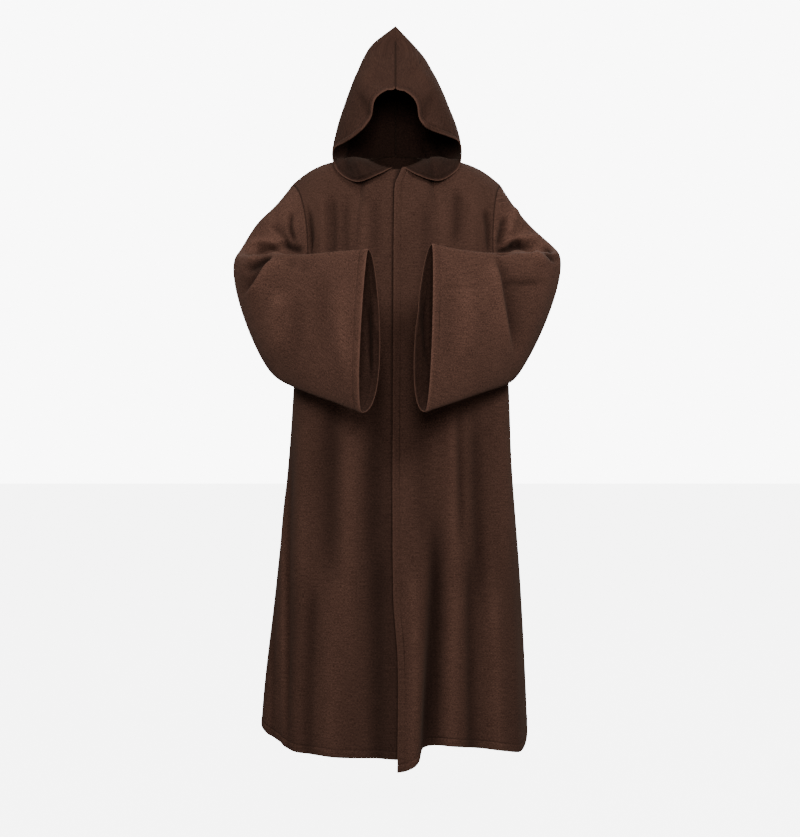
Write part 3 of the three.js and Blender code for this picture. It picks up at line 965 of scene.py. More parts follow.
SLEEVES = {
    Side.RIGHT: (
        Station((-295, 3, -86), (-276, -4, -424), 187, 64, 76, 0.7),
        Station((-338, -4, -131), (-290, -16, -456), 205, 58, 66, 0.7),
        Station((-364, -24, -188), (-292, -40, -486), 240, 50, 56, 0.7),
        Station((-370, -66, -214), (-288, -66, -508), 276, 44, 50, 0.7),
        Station((-342, -112, -221), (-276, -98, -522), 308, 40, 48, 0.7),
        Station((-288, -152, -222), (-250, -132, -536), 324, 38, 42, 0.7),
        Station((-218, -198, -228), (-206, -178, -554), 327, 38, 32, 0.9),
        Station((-140, -246, -226), (-138, -232, -578), 326, 38, 22, 1.3),
        Station((-62, -290, -224), (-76, -294, -602), 323, 38, 12, 2),
    ),
    Side.LEFT: (
        Station((297, 3, -95), (292, -4, -424), 187, 64, 76, 0.7),
        Station((334, -4, -141), (296, -16, -456), 205, 58, 66, 0.7),
        Station((370, -24, -182), (292, -40, -486), 240, 50, 56, 0.7),
        Station((380, -66, -206), (284, -66, -508), 276, 44, 50, 0.7),
        Station((350, -112, -214), (278, -98, -524), 308, 40, 48, 0.7),
        Station((296, -152, -218), (254, -132, -538), 324, 38, 42, 0.7),
        Station((226, -198, -224), (210, -178, -552), 327, 38, 32, 0.9),
        Station((154, -246, -222), (146, -232, -574), 326, 38, 22, 1.2),
        Station((84, -290, -212), (68, -294, -600), 323, 37, 12, 1.7),
    ),
}


@dataclass(frozen=True)
class HoodRow:
    """One row of half a hood, from its front end over the side to the back."""

    edge: tuple[float, float, float]
    side: tuple[float, float, float]
    back: tuple[float, float]  # as Y and Z, for the back lies in the middle
    flare: float  # how straight it runs from its front end to its side, from 0 to 1


HOODS = {
    Side.RIGHT: (
        HoodRow((-42, -99, -27), (-108, 0, 30), (99, 40), 0.3),
        HoodRow((-94, -78, -41), (-134, 4, 24), (116, 48), 0.2),
        HoodRow((-139, -50, -15), (-151, 10, 27), (126, 68), 0.1),
        HoodRow((-154, -24, 20), (-157, 18, 44), (131, 92), 0),
        HoodRow((-150, -32, 50), (-154, 22, 70), (134, 116), 0),
        HoodRow((-110, -64, 63), (-148, 20, 96), (136, 140), 0.1),
        HoodRow((-80, -84, 85), (-141, 18, 122), (136, 165), 0.2),
        HoodRow((-60, -89, 118), (-131, 18, 152), (134, 192), 0.2),
        HoodRow((-52, -90, 152), (-120, 20, 184), (129, 218), 0.3),
        HoodRow((-41, -88, 168), (-112, 22, 206), (125, 236), 0.4),
        HoodRow((-21, -82, 182), (-104, 25, 228), (120, 252), 0.6),
        HoodRow((0, -74, 189), (-95, 27, 248), (115, 268), 0.8),
        HoodRow((0, -38, 236), (-80, 35, 284), (106, 292), 0.8),
        HoodRow((0, 4, 282), (-56, 45, 322), (97, 315), 0.8),
        HoodRow((0, 38, 322), (0, 68, 371), (87, 340), 0),
    ),
    Side.LEFT: (
        HoodRow((52, -97, -27), (110, 0, 30), (99, 40), 0.3),
        HoodRow((104, -75, -38), (137, 4, 24), (116, 48), 0.2),
        HoodRow((145, -48, -14), (155, 10, 27), (126, 68), 0.1),
        HoodRow((161, -24, 18), (163, 18, 44), (131, 92), 0),
        HoodRow((156, -28, 66), (161, 22, 74), (134, 116), 0),
        HoodRow((106, -64, 78), (155, 20, 100), (136, 140), 0.1),
        HoodRow((74, -84, 91), (146, 18, 126), (136, 165), 0.2),
        HoodRow((59, -89, 112), (134, 18, 155), (134, 192), 0.2),
        HoodRow((53, -90, 142), (122, 20, 186), (129, 218), 0.3),
        HoodRow((43, -88, 162), (113, 22, 206), (125, 236), 0.4),
        HoodRow((23, -82, 179), (103, 25, 228), (120, 252), 0.6),
        HoodRow((0, -74, 189), (92, 27, 248), (115, 268), 0.8),
        HoodRow((0, -38, 236), (72, 35, 284), (106, 292), 0.8),
        HoodRow((0, 4, 282), (44, 47, 320), (97, 315), 0.8),
        HoodRow((0, 38, 322), (0, 68, 371), (87, 340), 0),
    ),
}


@dataclass
class HoodHalf:
    """One half of the hood, from the neckline up to the peak."""

    side: Side
    rows: tuple[HoodRow, ...]
    neck_start: float
    width: float = 280.0
    height: float = 460.0
    step: float = 3.8
    fine: float = 1.8
    hem: float = 13.0
    side_pull: float = 0.45
    side_leave: tuple[float, float] = (0.2, 0.3)  # back and up, where a row leaves its edge
    back_pull: float = 0.55
    back_leave: float = 0.2  # up, where a row leaves its side
    on_seam: float = 0.5  # ends nearer to the middle than this lie on the seam

    def line(self, row: HoodRow, share: Array) -> Array:
        """Return one row of the hood, from its front end over the side to the back.

        Args:
            row: the hood's row.
            share: shares of the way, from 0 to 1.

        Returns:
            A point for each share.
        """
        edge, side = np.array(row.edge, float), np.array(row.side, float)
        back = np.array([0, *row.back], float)
        run = side - edge
        leave = run * (mix(self.side_pull, 1, row.flare), *self.side_leave)
        arrive = side - run * (0, self.side_pull, 0)
        first = bezier(edge, edge + leave, arrive, side, share[:, None] * 2)
        run = back - side
        leave = side + run * (0, self.back_pull, self.back_leave)
        arrive = back - run * (self.back_pull, 0, 0)
        second = bezier(side, leave, arrive, back, share[:, None] * 2 - 1)
        return np.where((share <= 0.5)[:, None], first, second)

    def sheet(self, body: Body) -> Sheet:
        """Return the half's sheet, with its top row at the peak.

        Args:
            body: the body of the robe, whose neckline it is sewn to.

        Returns:
            The sheet.
        """
        sign = self.side.value
        share = spaced(self.width, self.step, self.fine, self.fine)
        turn = mix(sign * self.neck_start, math.pi, share)
        rows = [body.neck_point(sign * turn)] + [self.line(row, share) for row in self.rows]
        places = spaced(self.height, self.step, self.fine, self.fine) * len(self.rows)
        grid = through(np.array(rows), places)[::-1]
        grid[..., 0] = sign * np.maximum(sign * grid[..., 0], 0)
        shut = int((np.abs(grid[:, 0, 0]) < self.on_seam).sum()) - 1
        edges = Edge.START, Edge.END
        if self.side is Side.RIGHT:
            grid = grid[:, ::-1]
            edges = Edge.END, Edge.START
        trims = (Trim(edges[0], rows=(0, shut)), Trim(edges[1]), Trim(Edge.FOOT),
                 Trim(edges[0], self.hem, (shut, len(grid) - 1)))
        return Sheet("hood_" + self.side.name.lower(), grid, trims)


# Where each half of the hood starts on the neckline, in radians past the front middle.
HOOD_STARTS = {Side.RIGHT: -0.1, Side.LEFT: 0.24}


CREASES = {
    "sleeve_right": (
        Crease(((-298, -208), (-325, -238), (-350, -278), (-382, -322)), 14, 17,
               form=Form.FOLDED),
        Crease(((-318, -136), (-296, -156), (-279, -173), (-266, -204)), 11, -10,
               form=Form.FOLDED),
        Crease(((-290, -178), (-262, -193), (-222, -204)), 9, -11),
        Crease(((-257, -100), (-262, -140), (-248, -186)), 6, -8),
        Crease(((-372, -190), (-328, -177), (-276, -186)), 9, 8),
        Crease(((-352, -214), (-320, -199), (-280, -194)), 7, -9),
        Crease(((-376, -232), (-338, -210), (-300, -199)), 7, 6),
        Crease(((-380, -258), (-338, -228), (-304, -207)), 9, -9),
        Crease(((-264, -210), (-258, -227), (-252, -250)), 12, -3.2),
        Crease(((-236, -210), (-230, -233), (-226, -260)), 12, -2.4),
        Crease(((-70, -320), (-65, -420), (-62, -530)), 6, -6, inner=True),
        Crease(((-52, -300), (-50, -360), (-44, -420)), 6, 4, inner=True),
        Crease(((-283, -290), (-300, -370), (-290, -480)), 26, 8),
        Crease(((-238, -300), (-248, -390), (-240, -490)), 22, -2.4),
        Crease(((-180, -250), (-190, -350), (-180, -480)), 26, -2),
        Crease(((-140, -270), (-140, -380), (-122, -530)), 20, 5),
        Crease(((-290, -110), (-330, -190), (-345, -300)), 18, -10, Face.BACK),
        Crease(((-255, -170), (-285, -270), (-300, -400)), 20, 9, Face.BACK),
        Crease(((-240, -230), (-265, -330), (-270, -440)), 14, -9, Face.BACK),
    ),
    "sleeve_left": (
        Crease(((234, -206), (256, -252), (268, -317), (282, -400), (294, -470)), 19, -15,
               form=Form.FOLDED),
        Crease(((240, -205), (272, -199), (306, -191), (346, -193)), 7, -12),
        Crease(((276, -194), (299, -181), (316, -188)), 7, -10),
        Crease(((254, -184), (290, -172), (322, -168), (366, -168)), 10, 8),
        Crease(((360, -188), (382, -207), (404, -232)), 8, -12),
        Crease(((332, -203), (356, -213), (374, -240)), 10, 6),
        Crease(((302, -82), (288, -127), (276, -170)), 12, 7),
        Crease(((274, -108), (264, -153), (254, -204)), 9, -10),
        Crease(((266, -277), (314, -284), (380, -272)), 14, -3),
        Crease(((74, -300), (72, -400), (82, -500)), 6, -6, inner=True),
        Crease(((58, -310), (54, -370), (62, -430)), 6, 4, inner=True),
        Crease(((105, -289), (160, -291), (216, -289)), 5, -2.2),
        Crease(((258, -279), (320, -281), (381, -279)), 5, -2.2),
        Crease(((176, -256), (182, -370), (166, -490)), 24, 6),
        Crease(((130, -280), (134, -390), (118, -510)), 22, -1.8),
        Crease(((290, -120), (332, -190), (350, -300)), 18, -10, Face.BACK),
        Crease(((258, -160), (290, -260), (305, -390)), 20, 9, Face.BACK),
        Crease(((240, -240), (262, -340), (272, -450)), 14, -9, Face.BACK),
    ),
    "front_right": (
        Crease(((-226, -84), (-219, -130), (-212, -170), (-211, -250)), 12, -12),
        Crease(((-184, -50), (-180, -130), (-184, -260)), 10, 5),
        Crease(((-160, -52), (-156, -140), (-162, -270)), 10, -8),
        Crease(((-124, -62), (-126, -150), (-120, -260)), 10, -6),
        Crease(((-84, -58), (-82, -170), (-88, -330)), 14, 4),
        Crease(((-56, -60), (-54, -150), (-60, -290)), 12, -4),
        Crease(((-36, -420), (-52, -700), (-58, -1100)), 22, -9),
        Crease(((-164, -500), (-166, -750), (-172, -1080)), 24, -10),
        Crease(((-110, -600), (-118, -900), (-122, -1280)), 26, 8),
        Crease(((-222, -540), (-232, -800), (-244, -1120)), 20, 7),
        Crease(((-262, -560), (-268, -800), (-272, -1100), (-272, -1700)), 11, -12,
               form=Form.FOLDED),
        Crease(((-293, -900), (-303, -1200), (-310, -1700)), 7, -5),
        Crease(((-40, -900), (-48, -1180), (-44, -1800)), 18, -9),
        Crease(((-150, -960), (-160, -1200), (-168, -1800)), 24, 7),
        Crease(((-206, -1000), (-216, -1220), (-226, -1800)), 16, -9),
    ),
    "front_left": (
        Crease(((222, -90), (229, -145), (229, -240)), 9, -10),
        Crease(((190, -50), (190, -140), (194, -250)), 12, 5),
        Crease(((150, -40), (156, -110), (148, -210)), 11, -8),
        Crease(((116, -50), (120, -150), (112, -270)), 13, 4),
        Crease(((78, -62), (80, -170), (72, -300)), 14, -5),
        Crease(((142, -500), (140, -780), (150, -1100)), 18, 8),
        Crease(((158, -560), (160, -740), (166, -960)), 9, -8),
        Crease(((203, -540), (206, -820), (222, -1200)), 16, -9),
        Crease(((262, -480), (270, -720), (280, -1040)), 20, 7),
        Crease(((62, -480), (66, -760), (82, -1000)), 22, -5),
        Crease(((106, -760), (100, -1060), (88, -1300), (58, -1800)), 17, -17),
        Crease(((34, -960), (48, -1200), (40, -1800)), 20, 8),
        Crease(((150, -980), (140, -1240), (132, -1800)), 20, 9),
        Crease(((188, -900), (190, -1200), (196, -1800)), 15, -10),
        Crease(((240, -1000), (250, -1250), (262, -1800)), 20, 8),
    ),
    "back": (
        Crease(((-150, -60), (-146, -170), (-158, -330)), 18, -9, Face.BACK),
        Crease(((140, -50), (150, -190), (144, -350)), 18, -8, Face.BACK),
        Crease(((-60, 0), (-52, -140), (-64, -300)), 20, 6, Face.BACK),
        Crease(((48, -10), (58, -150), (46, -330)), 20, 7, Face.BACK),
        Crease(((-196, -80), (-200, -190), (-190, -300)), 10, -8, Face.BACK),
        Crease(((198, -80), (206, -180), (196, -310)), 10, -8, Face.BACK),
        Crease(((-110, -380), (-120, -640), (-130, -1000)), 24, -11, Face.BACK),
        Crease(((96, -420), (104, -700), (118, -1080)), 22, -10, Face.BACK),
        Crease(((-8, -360), (4, -620), (-6, -960)), 26, 9, Face.BACK),
        Crease(((190, -440), (200, -720), (212, -1060)), 20, 9, Face.BACK),
        Crease(((-196, -480), (-204, -760), (-216, -1120)), 20, 8, Face.BACK),
        Crease(((46, -520), (50, -800), (56, -1180)), 18, -6, Face.BACK),
    ),
    "hood_right": (
        Crease(((-124, 44), (-98, 58), (-70, 80)), 6, -5),
        Crease(((-132, 66), (-104, 84), (-76, 112)), 9, 4),
        Crease(((-104, 200), (-76, 156), (-64, 110)), 12, -5),
        Crease(((-52, 300), (-60, 250), (-88, 200)), 12, 4),
        Crease(((-116, 84), (-121, 42), (-128, 14), (-131, -20)), 15, -9,
               form=Form.FOLDED, inner=True),
        Crease(((-119, 14), (-113, -8), (-106, -30)), 7, -3, inner=True),
        Crease(((-96, 30), (-84, 2), (-70, -24)), 9, 4, inner=True),
        Crease(((-90, 250), (-70, 180), (-110, 90)), 16, -7, Face.BACK),
        Crease(((-40, 220), (-36, 150), (-60, 70)), 14, -5, Face.BACK),
    ),
    "hood_left": (
        Crease(((70, 116), (98, 70), (124, 24)), 7, -6),
        Crease(((92, 126), (116, 86), (140, 46)), 9, 4),
        Crease(((104, 200), (78, 154), (66, 112)), 12, -5),
        Crease(((40, 296), (56, 250), (84, 204)), 12, 4),
        Crease(((58, 92), (72, 50), (86, 22), (98, -12), (102, -30)), 12, 7,
               form=Form.FOLDED, inner=True),
        Crease(((95, 80), (110, 48), (128, 22), (136, 0)), 11, -3, inner=True),
        Crease(((112, 74), (126, 44), (142, 14)), 8, 4, inner=True),
        Crease(((84, 246), (72, 170), (104, 84)), 16, -7, Face.BACK),
        Crease(((34, 214), (38, 146), (58, 66)), 14, -5, Face.BACK),
    ),
}


@dataclass(frozen=True)
class Grain:
    """A layer of soft noise, stretched along the threads' two ways."""

    stretch: tuple[float, float]  # how fast it changes along each way, per metre
    detail: float  # how many finer layers it has
    share: float = 1.0  # how much it counts


ACROSS = Grain((210, 900), 4, 0.46)
ALONG = Grain((900, 190), 4, 0.32)
SLUBS = Grain((32, 430), 2, 0.16)
BROAD = Grain((11, 7), 3, 0.06)
WOBBLE = Grain((90, 90), 2, 3.0)
PATCHES = Grain((160, 160), 3)
GRAIN_ROUGHNESS = 0.55
MIDDLE = 0.5  # of a range from 0 to 1
STREAK_CONTRAST = 5.8  # how far the threads' tones are spread
THREADS = 620.0  # threads in a metre of cloth
STITCH_LENGTH = 0.0036  # from one stitch to the next, in metres
STITCH_SEWN = 0.72  # the share of it that the thread covers
STITCH_WIDTH = 0.0005  # half of the thread's width, in metres
GROOVE_REACH = 3.5  # how far a stitch line's groove reaches, in those half widths
RUBBING_AND_HIGHLIGHT_SPREAD = 0.006  # how far in from an edge the rubbing and the painted highlight reach, in metres
WHITE = (1, 1, 1, 1)


class Graph:
    """Adds nodes to a shader tree and joins them."""

    def __init__(self, tree: bpy.types.NodeTree) -> None:
        """Keep the tree."""
        self.tree = tree

    def add(self, kind: str, values: dict[str, object] | None = None,
            **settings: object) -> bpy.types.Node:
        """Add a node.

        Args:
            kind: the node's type, without its ShaderNode prefix.
            values: plain values or sockets for its inputs, by name or number.
            settings: the node's own settings.

        Returns:
            The node.
        """
        node = self.tree.nodes.new(kind if kind.startswith("Node") else "ShaderNode" + kind)
        for name, value in settings.items():
            setattr(node, name, value)
        for key, value in (values or {}).items():
            self.feed(node.inputs[key], value)
        return node

    def feed(self, socket: bpy.types.NodeSocket, value: object) -> None:
        """Give an input a plain value, or join another node's output to it.

        Args:
            socket: the input.
            value: the plain value or the output.
        """
        if isinstance(value, bpy.types.NodeSocket):
            self.tree.links.new(value, socket)
        else:
            socket.default_value = value

    def math(self, operation: str, *values: object) -> bpy.types.NodeSocket:
        """Return the result of one step of arithmetic."""
        return self.add("Math", dict(enumerate(values)), operation=operation).outputs[0]

    def blend(self, share: object, low: object, high: object,
              kind: str = "MIX") -> bpy.types.NodeSocket:
        """Return a mix of two colours.

        Args:
            share: how much of the second colour there is.
            low: the first colour.
            high: the second colour.
            kind: the way of mixing.

        Returns:
            The mixed colour.
        """
        node = self.add("Mix", data_type="RGBA", blend_type=kind)
        for number, value in ((0, share), (6, low), (7, high)):
            self.feed(node.inputs[number], value)
        return node.outputs[2]

    def noise(self, way: bpy.types.NodeSocket, grain: Grain) -> bpy.types.NodeSocket:
        """Return a layer of soft noise.

        Args:
            way: places on the cloth.
            grain: the layer.

        Returns:
            The noise, from 0 to 1.
        """
        placed = self.add("Mapping", {"Vector": way, "Scale": (*grain.stretch, 1.0)})
        noise = self.add("TexNoise", {
            "Vector": placed.outputs[0], "Scale": 1.0, "Detail": grain.detail,
            "Roughness": GRAIN_ROUGHNESS})
        return noise.outputs[0]

    def fall(self, value: bpy.types.NodeSocket, reach: float,
             start: float = 1.0) -> bpy.types.NodeSocket:
        """Return a value that falls evenly to 0.

        Args:
            value: what it falls with, as that grows from 0.
            reach: where it comes to 0.
            start: what it is at 0.

        Returns:
            The falling value.
        """
        return self.add("MapRange", {0: value, 1: 0.0, 2: reach, 3: start, 4: 0.0}).outputs[0]


def new_group(name: str, inputs: dict[str, tuple[str, float]],
              outputs: tuple[str, ...]) -> tuple[bpy.types.NodeTree, Graph, bpy.types.Node]:
    """Make an empty group of nodes with named inputs and outputs.

    Args:
        name: the group's name.
        inputs: each input's socket type and first value.
        outputs: the outputs, each a value.

    Returns:
        The group, its graph and its input node.
    """
    tree = bpy.data.node_groups.new(name, "ShaderNodeTree")
    for label, (kind, value) in inputs.items():
        socket = tree.interface.new_socket(label, in_out="INPUT", socket_type=kind)
        if kind == "NodeSocketFloat":
            socket.default_value = value
    for label in outputs:
        tree.interface.new_socket(label, in_out="OUTPUT", socket_type="NodeSocketFloat")
    graph = Graph(tree)
    return tree, graph, graph.add("NodeGroupInput")


def weave_group() -> bpy.types.NodeTree:
    """Make the group for a coarse plain weave with thick and thin threads.

    Returns:
        The group, with the weave's height and its light and dark streaks.
    """
    tree, graph, given = new_group("weave", {
        "Thread Way": ("NodeSocketVector", 0), "Threads": ("NodeSocketFloat", THREADS),
        "Streaks": ("NodeSocketFloat", 1),
    }, ("Height", "Tone"))
    way = given.outputs["Thread Way"]
    apart = graph.add("SeparateXYZ", {0: way})
    wobble = graph.math("MULTIPLY", graph.noise(way, WOBBLE), WOBBLE.share)
    waves = []
    for axis in (0, 1):
        turns = graph.math("MULTIPLY", apart.outputs[axis], given.outputs["Threads"])
        turns = graph.math("MULTIPLY_ADD", turns, math.pi, wobble)
        waves.append(graph.math("SINE", turns))
    knit = graph.math("MULTIPLY_ADD", graph.math("MULTIPLY", *waves), MIDDLE, MIDDLE)
    across = graph.noise(way, ACROSS)
    tone = graph.math("MULTIPLY", across, ACROSS.share)
    for grain in (ALONG, SLUBS, BROAD):
        tone = graph.math("MULTIPLY_ADD", graph.noise(way, grain), grain.share, tone)
    spread = graph.math("MULTIPLY", given.outputs["Streaks"], STREAK_CONTRAST)
    tone = graph.math("MULTIPLY_ADD", graph.math("SUBTRACT", tone, MIDDLE), spread, MIDDLE)
    height = graph.math("MULTIPLY", graph.math("ADD", across, knit), MIDDLE)
    graph.add("NodeGroupOutput", {"Height": height, "Tone": tone})
    return tree


def stitch_group() -> bpy.types.NodeTree:
    """Make the group for a row of stitches beside a hem.

    Returns:
        The group, with a mask of the stitches and the groove that they lie in.
    """
    tree, graph, given = new_group("stitch_row", {
        "Gap": ("NodeSocketFloat", FAR_OFF), "Run": ("NodeSocketFloat", 0),
        "Length": ("NodeSocketFloat", STITCH_LENGTH), "Width": ("NodeSocketFloat", STITCH_WIDTH),
    }, ("Mask", "Groove"))
    beside = graph.math("DIVIDE", given.outputs["Gap"], given.outputs["Width"])
    on_line = graph.math("LESS_THAN", beside, 1.0)
    phase = graph.math("FRACT", graph.math("DIVIDE", given.outputs["Run"],
                                           given.outputs["Length"]))
    sewn = graph.math("LESS_THAN", phase, STITCH_SEWN)
    graph.add("NodeGroupOutput", {
        "Mask": graph.math("MULTIPLY", on_line, sewn),
        "Groove": graph.fall(beside, GROOVE_REACH)})
    return tree


def rubbing_and_highlight_group() -> bpy.types.NodeTree:
    """Make the group for the lighter cloth along edges: rubbing, with a painted highlight of the
    rolled edge.

    Returns:
        The group, with a mask of the rubbing and the painted highlight.
    """
    tree, graph, given = new_group("edge_wear", {
        "Near": ("NodeSocketFloat", FAR_OFF), "Spread": ("NodeSocketFloat", RUBBING_AND_HIGHLIGHT_SPREAD),
        "Thread Way": ("NodeSocketVector", 0),
    }, ("Mask",))
    inwards = graph.math("DIVIDE", given.outputs["Near"], given.outputs["Spread"])
    patchy = graph.noise(given.outputs["Thread Way"], PATCHES)
    graph.add("NodeGroupOutput", {
        "Mask": graph.math("MULTIPLY", graph.fall(inwards, 1.0), patchy)})
    return tree


@dataclass(frozen=True)
class WovenCloth:
    """A finish of coarse, heathered, woven cloth."""

    name: str
    dark: tuple[float, float, float]
    light: tuple[float, float, float]
    thread: tuple[float, float, float] = (0.012, 0.006, 0.004)
    threads: float = THREADS
    streaks: float = 1.0
    roughness: float = 0.88
    rough_spread: float = 0.08  # how much rougher the lightest threads are than the darkest
    specular: float = 0.04
    sheen: float = 0.05
    sheen_roughness: float = 0.55
    sheen_tint: tuple[float, float, float] = (0.62, 0.47, 0.38)
    bump: float = 0.55
    bump_distance: float = 0.0006  # how high the weave stands, in metres
    groove_depth: float = 0.7  # how deep a stitch line lies, beside the weave's height
    stitch_height: float = 0.9  # how high its thread stands, the same way
    # rubbing along hem edges, together with a painted highlight of the rolled edge
    wear: float = 0.36
    lit_and_rubbed: float = 2.1  # how much lighter the edge's rubbing and painted highlight make it than the light threads
    fold_depth: float = 0.012  # how far a fold stands out for the two painted tones below
    ridge_painted_light: float = 0.4  # painted light: how much lighter a ridge is painted than level cloth
    trough_painted_shade: float = 0.5  # painted shade: how much darker a trough is painted than level cloth
    darkest: float = 0.2  # the tone that no painted trough shade goes below
    inner: float = 0.5  # painted shade: how light the inner side is painted beside the outer one, for the shade inside the hood and sleeves
    painted_lap_shade: float = 0.72  # painted shadow: how much darker the cloth is painted close under another piece
    groove_painted_shade: float = 0.42  # painted shade: how much darker the groove of a stitch line is painted
    seam_shade: float = 0.0034  # how wide the painted shade along a seam is, on each side
    seam_dark: float = 0.86  # how dark that painted shade is

    def make(self, groups: dict[str, bpy.types.NodeTree]) -> bpy.types.Material:
        """Make the material.

        Args:
            groups: the shared groups of nodes, by name.

        Returns:
            The material.
        """
        material = bpy.data.materials.new(self.name)
        material.use_nodes = True
        material.node_tree.nodes.clear()
        graph = Graph(material.node_tree)
        way = graph.add("UVMap", uv_map="thread_way").outputs[0]
        marks = {
            name: graph.add("Attribute", attribute_name=name).outputs["Fac"]
            for name in MARKS
        }
        weave = graph.add("Group", {
            "Thread Way": way, "Threads": self.threads, "Streaks": self.streaks,
        }, node_tree=groups["weave"])
        stitches = graph.add("Group", {
            "Gap": marks["stitch_gap"], "Run": marks["stitch_run"],
        }, node_tree=groups["stitch_row"])
        worn_and_lit = graph.add("Group", {
            "Near": marks["edge_near"], "Thread Way": way,
        }, node_tree=groups["edge_wear"])
        colour = graph.blend(weave.outputs["Tone"], (*self.dark, 1), (*self.light, 1))
        colour = self.shade(graph, colour, marks)
        # painted shade in the groove of a stitch line
        groove_painted_shade = graph.math("MULTIPLY", stitches.outputs["Groove"], self.groove_painted_shade)
        colour = graph.blend(groove_painted_shade, colour, (*self.thread, 1))
        # lighter along hem edges: rubbing, and a painted highlight of the rolled edge
        lit_and_rubbed = graph.math("MULTIPLY", worn_and_lit.outputs["Mask"], self.wear)
        lighter = tuple(min(value * self.lit_and_rubbed, 1) for value in self.light)
        colour = graph.blend(lit_and_rubbed, colour, (*lighter, 1))
        colour = graph.blend(stitches.outputs["Mask"], colour, (*self.thread, 1))
        # painted shade along the seams
        shut = graph.fall(marks["seam_near"], self.seam_shade, self.seam_dark)
        colour = graph.blend(shut, colour, (*self.thread, 1))
        lift = graph.math("MULTIPLY_ADD", stitches.outputs["Groove"], -self.groove_depth,
                          weave.outputs["Height"])
        lift = graph.math("MULTIPLY_ADD", stitches.outputs["Mask"], self.stitch_height, lift)
        bump = graph.add("Bump", {
            "Height": lift, "Strength": self.bump, "Distance": self.bump_distance})
        rough = graph.math("MULTIPLY_ADD", weave.outputs["Tone"], self.rough_spread,
                           self.roughness - self.rough_spread / 2)
        surface = graph.add("BsdfPrincipled", {
            "Base Color": colour, "Roughness": rough, "Normal": bump.outputs[0],
            "Specular IOR Level": self.specular, "Sheen Weight": self.sheen,
            "Sheen Roughness": self.sheen_roughness, "Sheen Tint": (*self.sheen_tint, 1)})
        graph.add("OutputMaterial", {"Surface": surface.outputs[0]})
        return material

    def shade(self, graph: Graph, colour: bpy.types.NodeSocket,
              marks: dict[str, bpy.types.NodeSocket]) -> bpy.types.NodeSocket:
        """Paint light onto the folds' ridges and shade into their troughs, paint shade on the
        inner side, and paint a shadow where another piece lies close over the cloth.

        Args:
            graph: the material's graph.
            colour: the cloth's colour.
            marks: the sheets' marks, by name.

        Returns:
            The shaded colour.
        """
        # painted light on the folds' ridges and painted shade in their troughs, by how far the
        # creases moved the cloth out or in
        towards = graph.math("MULTIPLY_ADD", marks["inner_side"], -2.0, 1.0)
        raised = graph.math("MULTIPLY", marks["raised"], towards)
        ridge = graph.math("MAXIMUM", raised, 0.0)
        trough = graph.math("MINIMUM", raised, 0.0)
        fold_light_and_shade = graph.math("MULTIPLY_ADD", ridge, self.ridge_painted_light / self.fold_depth, 1.0)
        fold_light_and_shade = graph.math("MULTIPLY_ADD", trough, self.trough_painted_shade / self.fold_depth, fold_light_and_shade)
        fold_light_and_shade = graph.math("MAXIMUM", fold_light_and_shade, self.darkest)
        colour = graph.blend(1.0, colour, fold_light_and_shade, "MULTIPLY")
        # painted shade on the inner side of the cloth
        inner_painted_shade = graph.math("MULTIPLY_ADD", marks["inner_side"], self.inner - 1, 1.0)
        colour = graph.blend(1.0, colour, inner_painted_shade, "MULTIPLY")
        # painted shadow where another piece lies close over the cloth
        painted_lap_dimming = graph.math("MULTIPLY_ADD", marks["tucked"], -self.painted_lap_shade, 1.0)
        return graph.blend(1.0, colour, painted_lap_dimming, "MULTIPLY")


@dataclass(frozen=True)
class Lamp:
    """A soft, square lamp."""

    name: str
    place: tuple[float, float, float]  # in metres
    size: float  # in metres
    power: float  # in watts


LAMPS = (
    Lamp("key", (1.8, -2.2, 1.9), 1.0, 92),
    Lamp("left_fill", (-2.4, -1.6, 1.5), 1.0, 54),
    Lamp("front_fill", (0.05, -3.8, 0.5), 1.2, 100),
    Lamp("rim", (0.6, 3.0, 2.2), 2.4, 130),
)


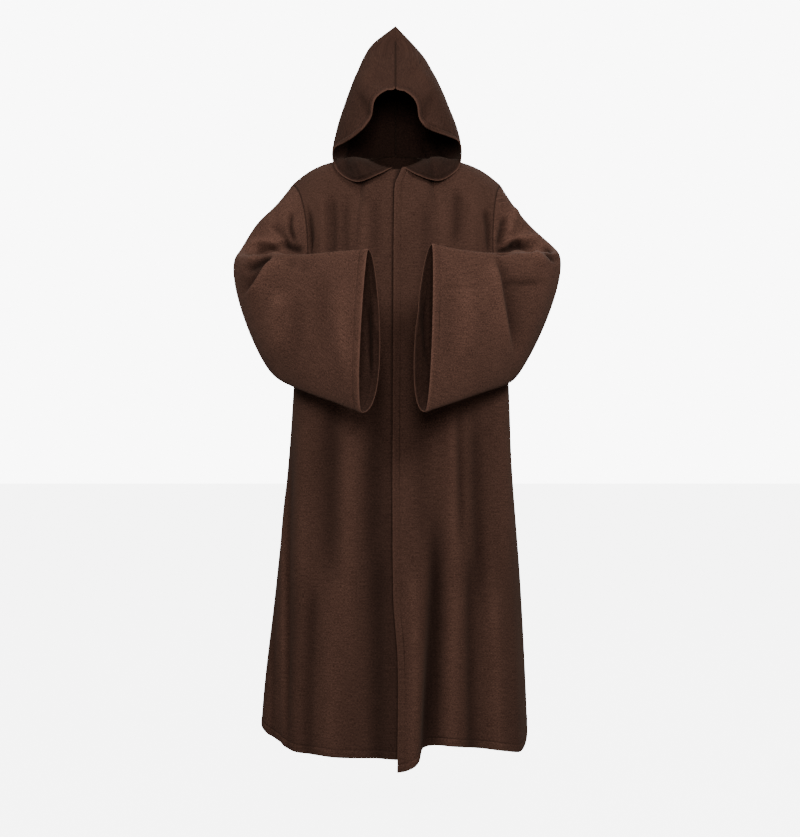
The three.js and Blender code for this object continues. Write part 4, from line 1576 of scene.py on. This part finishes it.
@dataclass
class Studio:
    """A pale floor, soft light and the camera."""

    aim: tuple[float, float, float] = (0.0, 0.0, -0.15)
    floor_z: float = -1.54
    floor_size: float = 40.0
    floor_colour: tuple[float, float, float] = (0.18, 0.18, 0.18)
    floor_roughness: float = 0.9
    background: float = 9.0
    fill: float = 0.3
    floor_light: float = 6.4

    def build(self) -> None:
        """Set up the floor, the light and the camera."""
        self.floor()
        self.sky()
        for lamp in LAMPS:
            self.hang(lamp)
        self.camera()

    def floor(self) -> None:
        """Lay the floor."""
        bpy.ops.mesh.primitive_plane_add(size=self.floor_size, location=(0, 0, self.floor_z))
        floor = bpy.context.object
        floor.name = "studio_floor"
        material = bpy.data.materials.new("studio_floor")
        material.use_nodes = True
        material.node_tree.nodes.clear()
        graph = Graph(material.node_tree)
        seen = graph.add("LightPath").outputs["Is Camera Ray"]
        shader = graph.add("BsdfPrincipled", {
            "Base Color": (*self.floor_colour, 1), "Roughness": self.floor_roughness,
            "Emission Color": WHITE,
            "Emission Strength": graph.math("MULTIPLY", seen, self.floor_light)})
        graph.add("OutputMaterial", {"Surface": shader.outputs[0]})
        floor.data.materials.append(material)

    def sky(self) -> None:
        """Make the surroundings an even white."""
        world = bpy.data.worlds.new("studio")
        bpy.context.scene.world = world
        world.use_nodes = True
        world.node_tree.nodes.clear()
        graph = Graph(world.node_tree)
        seen = graph.add("LightPath").outputs["Is Camera Ray"]
        strength = graph.math("MULTIPLY_ADD", seen, self.background - self.fill, self.fill)
        light = graph.add("Background", {"Color": WHITE, "Strength": strength})
        graph.add("OutputWorld", {"Surface": light.outputs[0]})

    def hang(self, lamp: Lamp) -> None:
        """Hang a lamp that shines at the robe's middle.

        Args:
            lamp: the lamp.
        """
        data = bpy.data.lights.new(lamp.name, "AREA")
        data.size = lamp.size
        data.energy = lamp.power
        hung = bpy.data.objects.new(lamp.name, data)
        bpy.context.scene.collection.objects.link(hung)
        hung.location = lamp.place
        way = Vector(self.aim) - Vector(lamp.place)
        hung.rotation_euler = way.to_track_quat("-Z", "Y").to_euler()

    def camera(self) -> None:
        """Place the camera level before the robe."""
        data = bpy.data.cameras.new("camera")
        data.lens = CAMERA["lens"]
        camera = bpy.data.objects.new("camera", data)
        bpy.context.scene.collection.objects.link(camera)
        camera.location = (
            CAMERA["x"] * METRES, -CAMERA["away"] * METRES, CAMERA["z"] * METRES)
        camera.rotation_euler = (RIGHT_ANGLE, 0, 0)
        bpy.context.scene.camera = camera


# One cloth throughout: the sleeves' finish is painted lighter and the hood's darker than the
# body's, painted light and shade for how the lamps fall on them
FINISHES = {
    "body_cloth": WovenCloth("body_cloth", (0.0195, 0.0086, 0.0058), (0.067, 0.0330, 0.0232)),
    "sleeve_cloth": WovenCloth("sleeve_cloth", (0.0245, 0.0112, 0.0077), (0.098, 0.0475, 0.0335),
                               trough_painted_shade=0.76),
    "hood_cloth": WovenCloth("hood_cloth", (0.0135, 0.0061, 0.0042), (0.054, 0.0258, 0.0180),
                             wear=0.85, seam_shade=0.0052),
}


def main() -> None:
    """Build the robe and the studio."""
    logging.basicConfig(level=logging.INFO, format="%(name)s: %(message)s")
    sewing = Sewing()
    body = Body()
    sheets = [body.front(Side.RIGHT), body.front(Side.LEFT), body.back()]
    for side in Side:
        sheets.append(Sleeve(side, SLEEVES[side]).sheet(body))
    for side, start in HOOD_STARTS.items():
        sheets.append(HoodHalf(side, HOODS[side], start).sheet(body))
    groups = {"weave": weave_group(), "stitch_row": stitch_group(), "edge_wear": rubbing_and_highlight_group()}
    materials = {name: finish.make(groups) for name, finish in FINISHES.items()}
    for sheet in sheets:
        kind = sheet.name.split("_")[0]
        slot = {"sleeve": "sleeve_cloth", "hood": "hood_cloth"}.get(kind, "body_cloth")
        sheet.press(CREASES[sheet.name])
        piece = sheet.build(materials[slot], sewing)
        declare(piece, sheet.name)
        LOG.info("%s: %d faces", sheet.name, len(piece.data.polygons))
    Studio().build()


if __name__ == "__main__":
    main()
